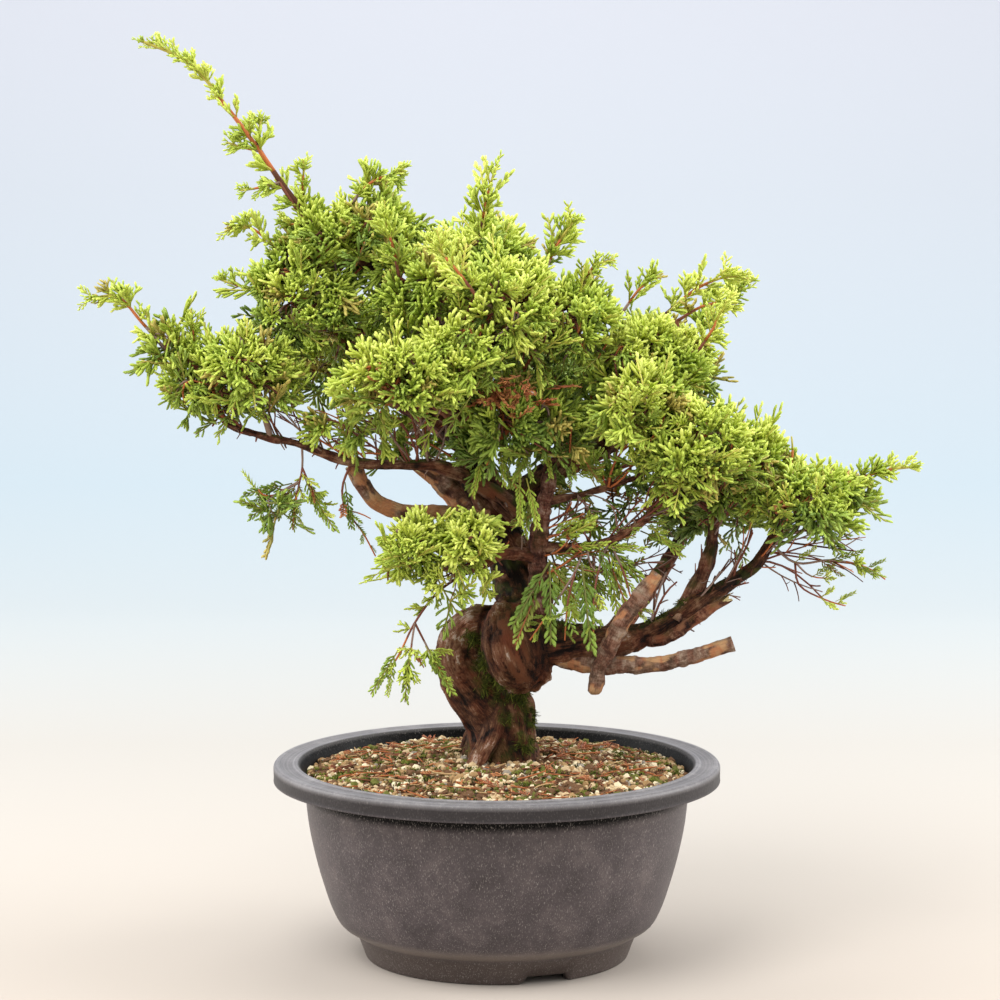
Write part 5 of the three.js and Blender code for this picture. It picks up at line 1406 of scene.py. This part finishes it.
def shoot_growth(route, brightness, young, bare, random):
    """A shoot: a stem of radius 0.8 mm + 0.005 of its length, with up to three fronds round it at nodes 5 to
    16 mm apart, and at every 5 mm of its last third, where they are shorter. Its inner share, bare, has none,
    and a weak shoot, which has lost more than a fifth, has smaller and fewer ones on a thinner stem."""
    weak = bare > WEAK_FROM
    line = smooth_route([[*spot, 1.0] for spot in route], 1.0)[:, :3]
    length = len(line) - 1
    nodes = np.cumsum(random.uniform(0.75, 1.3, 60) * np.clip(4.5 + length / 16, 6.5, 12))
    nodes = np.concatenate([nodes[nodes < 0.66 * length], np.arange(0.7 * length, length - 7, 5)])
    nodes = nodes[nodes > bare * length]
    place = np.minimum(np.repeat(nodes, 3) + random.normal(0, 0.8, 3 * len(nodes)), length - 1).astype(int)
    count = len(place)
    share = place / length
    tangent, across, out = (part[0] for part in spokes(line[None]))
    turn = np.repeat(random.uniform(0, 6.3, len(nodes)), 3) + np.tile(np.arange(3) * 2.1, len(nodes))
    side = np.cos(turn)[:, None] * across[place] + np.sin(turn)[:, None] * out[place]
    spread = (0.9 - 0.55 * step(share, 0.4, 1.0))[:, None]
    heading = unit(0.9 * tangent[place] + spread * side + random.normal(0, 0.2, (count, 3)) + [0, 0, 0.2])
    scale = (0.88 - 0.5 * step(share, 0.45, 1.0)) * random.uniform(0.7, 1.12, count)
    scale = scale * min(0.66 if weak else 1, max(0.6, length / FULL_SHOOT))
    # Painted light: fronds further out along the shoot get tints nearer sunlit.
    level = 2.3 + brightness + 0.9 * share + random.normal(0, 0.5, count)
    plume = random.integers(FIRST_PLUME, FIRST_YOUNG, count)
    pick = np.where(random.uniform(size=count) < 0.3, plume, random.integers(0, FIRST_SPRAY, count))
    needle = random.integers(FIRST_YOUNG, FIRST_FEATHER, count)
    young_here = random.uniform(size=count) < young
    tint = chosen_tints(level, random)
    tint = np.where(young_here & (share < 0.4), TINT_NAMES.index("withered"), tint)
    up = unit(np.array([0, -0.6, 1.0]) + random.normal(0, 0.4, (count, 3)))
    fronds = frond_rows(line[place], heading, up, np.where(young_here, needle, pick), scale, tint)
    fronds = kept_rows(fronds, random.uniform(size=count) < (0.55 if weak else 0.85))
    thick = (0.8 + 0.005 * length) * (0.7 if weak else 1)
    stem = smooth_route([[*spot, 1.0] for spot in route], 4.0)[None, :-1, :3]
    cuts = np.linspace(0, stem.shape[1] - 1, 4).astype(int)
    tones = [random.choice([0, 1, 3]), random.choice([0, 1]) if weak else 2, 2 if weak else 4]
    widths = thick * np.linspace(1, 0.55, 4)
    pieces = zip(cuts[:-1], cuts[1:], widths[:-1], widths[1:], tones)
    return [(stem[:, a : b + 1], wide, narrow, 5, tone) for a, b, wide, narrow, tone in pieces], fronds


def owned(fronds, own, others):
    """A mass keeps to its own space: a frond stays if none of the other masses' lobes is nearer its tip."""
    reach = 18 * fronds["scale"][:, None]
    tip = fronds["root"] + unit(fronds["heading"]) * reach
    return nearest_lobe(others, tip) > np.minimum(nearest_lobe(own, tip), 0.95)


wood_routes = [*TRUNK_STRETCHES.values(), *BOUGHS.values()]
wood_rows = np.concatenate([smooth_route(route, 4) for route in wood_routes] + [lobe_route()[::4]])


def clear_of_wood(fronds):
    """A frond that would run into a limb is left out: its middle and its tip stay outside every limb."""
    clear = np.ones(len(fronds["root"]), bool)
    for share in (9, 17):
        spot = fronds["root"] + unit(fronds["heading"]) * share * fronds["scale"][:, None]
        gap = np.linalg.norm(spot[:, None] - wood_rows[None, :, :3], axis=-1) - wood_rows[:, 3]
        clear &= gap.min(axis=1) > LIMB_CLEARANCE
    return clear


def foliage_pieces(name, mass, others, seed):
    """Grows one mass and makes its two pieces, the twigs and the fronds."""
    random = np.random.default_rng(seed)
    young = YOUNG_SHARE.get(name, 0.0)
    dull = young > 0.4
    brightness = MASS_BRIGHTNESS[mass["colour"]] - (0.8 if dull else 0)
    lobes = mass.get("lobes", [])
    start = np.array(mass["start"], float)
    twigs = []
    tables = []
    for row in lobes:
        needles = 0.0 if mass.get("shoots") and row[6] == 0 else young
        grown, fronds = lobe_growth(row, start, brightness, mass["colour"] == "bluish", needles, random)
        twigs += grown
        tables.append(fronds)
        start = np.array(row[:3], float)
    for route in mass.get("shoots", []):
        if lobes and "bare" not in mass:
            hub = min(lobes, key=lambda row: np.linalg.norm(np.array(row[:3]) - route[0]))
            link = np.linspace(np.array(hub[:3], float), np.array(route[0], float), 4)[None]
            twigs.append((link, 1.2, 1.15, 5, None))
        grown, fronds = shoot_growth(route, brightness, young, mass.get("bare", 0.08), random)
        twigs += grown
        tables.append(fronds)
    feathers = np.array(mass.get("feathers", []), float).reshape(-1, 6)
    feathers = np.repeat(feathers, mass.get("copies", 1), axis=0)
    feathers = feathers + random.normal(0, 1, feathers.shape) * (3.0 if "copies" in mass else 0.5)
    hung = []
    if len(feathers):
        count = len(feathers)
        drop = feathers[:, 3:] - feathers[:, :3]
        up = np.array([0, -1.0, 0.2]) + random.normal(0, 0.2, (count, 3))
        size_share = np.linalg.norm(drop, axis=1) / FEATHER_LENGTH
        kinds = random.integers(FIRST_FEATHER, len(TEMPLATES), count)
        # Feathers hang under the crown, so beside dying tints they take only shaded or middle ones: painted
        # shade.
        shades = ("dying", "deep", "shade") if dull else ("dying", "deep", "leaf", "leaf")
        tint = random.choice([TINT_NAMES.index(tint) for tint in shades], count)
        hung = [frond_rows(feathers[:, :3], unit(drop), up, kinds, size_share, tint)]
    for x, y, z, count in mass.get("dead", []):
        root = np.array([x, y, z]) + random.normal(0, 4, (count, 3))
        way = unit(random.normal(size=(count, 3)) + [0.3, -0.3, 0])
        kinds = random.integers(FIRST_SPRAY, FIRST_FEATHER, count)
        withered = np.full(count, TINT_NAMES.index("withered"))
        size_share = random.uniform(0.35, 0.6, count)
        tables.append(frond_rows(root, way, [0, 0, 1.0] + 0 * way, kinds, size_share, withered))
    fronds = joined_rows(tables)
    fronds = kept_rows(fronds, owned(fronds, lobes, others) & clear_of_wood(fronds))
    leaves = block_mesh("fronds_" + name, stamped(joined_rows([fronds, *hung])), frond_finishes)
    blocks = []
    for curves, thick, thin, sides, tone in twigs:
        tones = random.choice(4, len(curves), p=[0.4, 0.25, 0.2, 0.15])
        tones = tones if tone is None else np.full(len(curves), tone)
        blocks.append(tube_block(curves, np.linspace(thick, thin, curves.shape[1]), sides, tones))
    stems = block_mesh("twigs_" + name, gathered(blocks), twig_finishes)
    for piece in (leaves, stems):
        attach(piece, "root")
        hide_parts("foliage_" + name)


for number, (name, mass) in enumerate(MASSES.items()):
    others = [row for other, held in MASSES.items() if other != name for row in held.get("lobes", [])]
    foliage_pieces(name, mass, others, 500 + number)


# Bare twigs: thin red-brown and grey feeders that have lost their green, forked once or twice, rising from
# the boughs into the masses, and the short spurs and snapped twiglets that bristle along every live bough.
THICKETS = [
    # [foot, end, number of twigs, spread of their ends]
    [-48, -15, 278, -78, -20, 300, 3, 6], [-44, -14, 278, -60, -18, 309, 3, 7],
    [-38, -13, 278, -38, -18, 307, 3, 6], [-95, -18, 285, -122, -22, 312, 4, 6],
    [-118, -18, 292, -130, -20, 314, 3, 5], [-140, -17, 298, -160, -17, 318, 4, 5],
    [-72, -17, 280, -102, -18, 302, 4, 6], [28, -6, 208, 62, 6, 214, 2, 3],
    [60, 6, 214, 98, 8, 229, 3, 6], [62, -12, 236, 84, -14, 254, 4, 4],
    [82, -13, 252, 100, -14, 276, 5, 5], [86, -8, 186, 100, -8, 210, 2, 5],
    [112, -3, 200, 128, -4, 228, 3, 6], [128, 0, 210, 142, -4, 234, 3, 6],
    [122, -2, 205, 142, -6, 206, 2, 5], [145, 3, 221, 170, -6, 240, 3, 6],
    [150, 5, 230, 186, 0, 244, 3, 6], [120, 11, 240, 140, 0, 260, 3, 7],
    [119, 12, 250, 100, 0, 264, 3, 6], [23, -9, 225, 45, -16, 241, 3, 7],
    [24, -10, 242, 45, -14, 256, 3, 6], [24, -8, 214, 43, -14, 224, 3, 5],
    [78, -10, 245, 97, -14, 256, 3, 6], [50, -12, 233, 60, -18, 221, 3, 4],
    [62, -6, 265, 84, -10, 284, 4, 6], [45, -8, 261, 56, -12, 246, 3, 4],
    [-14, 12, 272, -46, -8, 294, 4, 8], [146, 3, 222, 180, -2, 203, 2, 3],
    [150, 4, 228, 196, -4, 218, 2, 3], [152, 5, 233, 200, -4, 232, 2, 3],
]
SPURS = 300


def forked(curves, thick, random):
    """Twigs that branch from others: each leaves its parent somewhere between its second ring and its tip,
    turned about 40 degrees off, is 0.2 to 0.45 as long, and three quarters as thick."""
    count = len(curves)
    ring = random.integers(2, curves.shape[1] - 1, count)
    foot = curves[np.arange(count), ring]
    run = curves[:, -1] - curves[:, 0]
    reach = np.linalg.norm(run, axis=1)[:, None] * random.uniform(0.2, 0.45, (count, 1))
    way = unit(unit(run) + 0.85 * unit(random.normal(size=(count, 3)) + [0, -0.2, 0.4]))
    end = foot + way * reach
    return bends(foot, 0.5 * (foot + end) + 0.1 * reach * unit(run), end, 5), thick * 0.75


random = np.random.default_rng(91)
thicket = np.array(THICKETS, float)
thicket = np.repeat(thicket, thicket[:, 6].astype(int), axis=0)
feeder_foot = thicket[:, :3] + random.normal(0, 1.0, (len(thicket), 3))
feeder_end = thicket[:, 3:6] + random.normal(0, 1, (len(thicket), 3)) * thicket[:, 7:8]
feeder_span = np.abs(feeder_end - feeder_foot).sum(axis=1, keepdims=True)
feeder_sway = 0.13 * random.normal(size=feeder_foot.shape) * feeder_span
feeder_curves = bends(feeder_foot, 0.5 * (feeder_foot + feeder_end) + feeder_sway, feeder_end, 6)
feeders = feeder_curves, random.uniform(0.45, 0.85, len(feeder_curves))
live_boughs = [smooth_route(route, 3) for name, route in BOUGHS.items() if name not in DEAD_WOOD]
spur_home = np.concatenate(live_boughs + [smooth_route(TRUNK_STRETCHES["bough_right"], 3)[16:]])
spur_home = spur_home[spur_home[:, 3] < 7]
spur_seat = random.choice(len(spur_home), SPURS)
spur_way = unit(random.normal(size=(SPURS, 3)) + [0, 0, 0.3])
spur_foot = spur_home[spur_seat, :3] + spur_way * 0.7 * spur_home[spur_seat, 3:]
spur_reach = spur_home[spur_seat, 3:] * 0.4 + np.clip(random.lognormal(math.log(4.5), 0.6, (SPURS, 1)), 2, 16)
spur_end = spur_foot + spur_way * spur_reach
spur_bend = 0.5 * (spur_foot + spur_end) + random.normal(0, 0.8, (SPURS, 3))
spur_curves = bends(spur_foot, spur_bend, spur_end, 5)
spur_thick = random.uniform(0.35, 0.7, SPURS)
first_forks = forked(*feeders, random)
more_forks = forked(*feeders, random)
small_forks = forked(*first_forks, random)
long_spurs = spur_reach[:, 0] > 7
spur_forks = forked(spur_curves[long_spurs], spur_thick[long_spurs], random)
blocks = []
for curves, thick in (feeders, first_forks, more_forks, small_forks, (spur_curves, spur_thick), spur_forks):
    tones = random.choice(4, len(curves), p=[0.36, 0.34, 0.1, 0.2])
    blocks.append(tube_block(curves, thick[:, None] * np.linspace(1, 0.62, curves.shape[1]), 4, tones))
bare_twigs = block_mesh("bare_twigs", gathered(blocks), twig_finishes)
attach(bare_twigs, "root")
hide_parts("bough_left", "bough_mid_right", "bough_right_riser", "bough_thin_right")


# Moss grows in soft dark green strands where the wood stays damp, longest in the crevice of the coil, and in
# small cushions on the soil. Fallen fronds and twiglets, dry and orange-brown, lie between the grains.
LITTER_EDGE = 104
moss_finishes = [
    plain_finish("dark_moss", "#363a16", 0.9, 0.1),
    plain_finish("green_moss", "#50581f", 0.9, 0.1),
    plain_finish("fresh_moss", "#767a33", 0.85, 0.1),
]
MOSS_STRANDS = 2600
CUSHIONS = 320
BLADES_PER_CUSHION = 16
LITTER_TWIGLETS = 260
LITTER_FRONDS = 60
random = np.random.default_rng(71)
trunk_share = np.where(trunk_points[:, 2] > GROUND[0][1], moss_share * (0.15 + moss), 0)
seat = random.choice(len(trunk_points), MOSS_STRANDS, p=trunk_share / trunk_share.sum())
strand_root = trunk_points[seat] - 0.3 * trunk_normals[seat]
strand_length = random.uniform(1.2, 3.2, MOSS_STRANDS) * (0.6 + 0.9 * moss[seat])
wander = random.normal(0, 0.55, (MOSS_STRANDS, 3))
strand_middle = strand_root + strand_length[:, None] * unit(trunk_normals[seat] + wander) * 0.5
drop = strand_length[:, None] * (unit(0.35 * trunk_normals[seat] + wander) + [0, 0, -0.55]) * 0.6
strands = bends(strand_root, strand_middle, strand_middle + drop, 3)
strand_tone = random.choice(3, MOSS_STRANDS, p=[0.45, 0.42, 0.13])
trunk_moss = block_mesh(
    "trunk_moss", tube_block(strands, 0.17 * np.array([1.2, 1.0, 0.7]), 3, strand_tone), moss_finishes
)
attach(trunk_moss, "root")

cushion = np.stack(scattered(random, CUSHIONS, 102, 0.06), axis=-1)
blade_count = CUSHIONS * BLADES_PER_CUSHION
blade_plan = np.repeat(cushion, BLADES_PER_CUSHION, axis=0) + random.normal(0, 1.7, (blade_count, 2))
blade_plan *= np.minimum(1, LITTER_EDGE / np.hypot(*blade_plan.T))[:, None]
blade_root = on_ground(*blade_plan.T, 0.2)
blade_way = unit(np.column_stack([random.normal(0, 0.6, (blade_count, 2)), np.ones(blade_count)]))
blade_end = blade_root + blade_way * random.uniform(0.9, 2.4, (blade_count, 1))
blades = np.stack([blade_root, 0.4 * blade_root + 0.6 * blade_end], axis=1)
blade_tone = np.repeat(random.choice(3, CUSHIONS, p=[0.2, 0.45, 0.35]), BLADES_PER_CUSHION)
soil_moss = block_mesh("soil_moss", tube_block(blades, 0.32, 3, blade_tone), moss_finishes)
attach(soil_moss, "root")

litter_finishes = [
    plain_finish("orange_dry_twiglet", "#a35c30", 0.75, 0.3),
    plain_finish("brown_dry_twiglet", "#6f432b", 0.8, 0.25),
    plain_finish("straw_dry_twiglet", "#b59468", 0.8, 0.25),
]
litter_root = on_ground(*scattered(random, LITTER_TWIGLETS, 98, 0.05), 1.0)
litter_angle = random.uniform(0, 2 * np.pi, LITTER_TWIGLETS)
litter_way = round_axis(1, litter_angle, random.uniform(-0.04, 0.22, LITTER_TWIGLETS))
litter_length = np.clip(random.lognormal(math.log(9), 0.5, LITTER_TWIGLETS), 3, 30)[:, None]
litter_end = litter_root + litter_way * litter_length
litter_end[:, :2] *= np.minimum(1, LITTER_EDGE / np.hypot(*litter_end[:, :2].T))[:, None]
litter_end[:, 2] = np.maximum(litter_end[:, 2], ground_height(*litter_end[:, :2].T) + 0.8)
litter_bend = 0.5 * (litter_root + litter_end) + random.normal(0, 1, (LITTER_TWIGLETS, 3)) * [2.2, 2.2, 0.4]
litter_curves = bends(litter_root, litter_bend, litter_end, 4)
litter_radii = random.uniform(0.3, 0.62, (LITTER_TWIGLETS, 1)) * np.linspace(1, 0.6, 4)
litter_tone = random.choice(3, LITTER_TWIGLETS, p=[0.45, 0.35, 0.2])
twiglets = block_mesh("soil_litter", tube_block(litter_curves, litter_radii, 4, litter_tone), litter_finishes)
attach(twiglets, "root")
fallen = frond_rows(
    on_ground(*scattered(random, LITTER_FRONDS, 92, 0.05), 1.2),
    round_axis(1, random.uniform(0, 2 * np.pi, LITTER_FRONDS), 0),
    np.tile([0.0, 0.0, 1.0], (LITTER_FRONDS, 1)),
    random.integers(FIRST_SPRAY, FIRST_YOUNG, LITTER_FRONDS),
    random.uniform(0.25, 0.5, LITTER_FRONDS),
    np.full(LITTER_FRONDS, TINT_NAMES.index("withered")),
)
fallen_fronds = block_mesh("fallen_fronds", stamped(fallen), frond_finishes)
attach(fallen_fronds, "root")


# The studio: a pale floor that curves up into a wall behind, lit softly from above, left and right.
def studio_paper():
    """Matt backdrop paper: warm white near the front and paler blue towards the back and up the wall."""
    material = plain_finish("matt_backdrop_paper", "#f1ebe3", 0.95, 0.1)
    shader = material.node_tree.nodes["Principled BSDF"]
    place = add_node(material, "ShaderNodeTexCoord", {}, {}).outputs["Object"]
    parts = add_node(material, "ShaderNodeSeparateXYZ", {}, {"Vector": place}).outputs
    back_and_up = add_node(material, "ShaderNodeMath", {"operation": "ADD"}, {0: parts["Y"], 1: parts["Z"]})
    sockets = {"From Min": -0.2, "From Max": 3.3, "To Min": 0.0, "To Max": 1.0}
    sockets["Value"] = back_and_up.outputs[0]
    rise = add_node(material, "ShaderNodeMapRange", {}, sockets).outputs["Result"]
    stops = [(0.0, "#b9aea3"), (0.24, "#b0aca6"), (0.41, "#b3b8b9"), (0.58, "#aebac1")]
    stops += [(0.82, "#bbc0c7"), (1.0, "#c7c8d0")]
    tones = add_node(material, "ShaderNodeValToRGB", {"stops": stops}, {"Fac": rise})
    material.node_tree.links.new(tones.outputs["Color"], shader.inputs["Base Color"])
    return material


SWEEP_HALF_WIDTH = 3000
SWEEP_FRONT = -2600
SWEEP_FOOT = 1300
SWEEP_RADIUS = 1600
SWEEP_TOP = 3000
sweep_turn = np.linspace(0, math.pi / 2, 40)
sweep_back = SWEEP_FOOT + SWEEP_RADIUS
sweep_y = np.concatenate([[SWEEP_FRONT], SWEEP_FOOT + SWEEP_RADIUS * np.sin(sweep_turn), [sweep_back]])
sweep_z = np.concatenate([[0], SWEEP_RADIUS * (1 - np.cos(sweep_turn)), [SWEEP_TOP]])
sweep_side = np.array([-SWEEP_HALF_WIDTH, SWEEP_HALF_WIDTH])
sweep_grid = np.stack(np.broadcast_arrays(sweep_side[:, None], sweep_y, sweep_z), axis=-1)
corner = np.arange(len(sweep_y) - 1)
sweep_quads = np.stack([corner, len(sweep_y) + corner, len(sweep_y) + corner + 1, corner + 1], axis=-1)
sweep = make_mesh("backdrop", sweep_grid.reshape(-1, 3), (sweep_quads,), [studio_paper()])

world = bpy.data.worlds.new("soft_room")
world.use_nodes = True
world.node_tree.nodes["Background"].inputs["Color"].default_value = linear("#eef1f3")
world.node_tree.nodes["Background"].inputs["Strength"].default_value = 1.07
bpy.context.scene.world = world
# Each softbox: place, what it points at, both in metres, its width and its power in watts.
SOFTBOXES = [
    ((-0.8, -1.2, 2.2), (0, 0, 0.3), 1.5, 46),
    ((-1.7, 0.3, 0.9), (0, 0, 0.2), 1.4, 24),
    ((1.7, 0.2, 1.0), (0, 0, 0.2), 1.4, 34),
    ((0.2, 1.2, 2.1), (0, 0, 0.35), 1.4, 18),
]
for number, (place, target, width, power) in enumerate(SOFTBOXES):
    lamp = bpy.data.lights.new(f"softbox_{number}", "AREA")
    lamp.shape = "SQUARE"
    lamp.size = width
    lamp.energy = power
    holder = bpy.data.objects.new(f"softbox_{number}", lamp)
    aim = np.subtract(target, place)
    holder.location = place
    holder.rotation_euler = (math.atan2(np.hypot(aim[0], aim[1]), -aim[2]), 0, math.atan2(-aim[0], aim[1]))
    bpy.context.scene.collection.objects.link(holder)

# The camera stands at the height of the upper boughs and looks down a little, 2 m away with a long lens.
CAMERA_PLACE = (0.0, -1.986, 0.4895)
CAMERA_PITCH = 0.1165
CAMERA_SHIFT = 0.00315
LENS_LENGTH = 129.6
lens = bpy.data.cameras.new("camera")
lens.lens = LENS_LENGTH
lens.sensor_width = 36
lens.shift_x = CAMERA_SHIFT
lens.clip_end = 30
camera = bpy.data.objects.new("camera", lens)
camera.location = CAMERA_PLACE
camera.rotation_euler = (math.pi / 2 - CAMERA_PITCH, 0, 0)
bpy.context.scene.collection.objects.link(camera)
bpy.context.scene.camera = camera
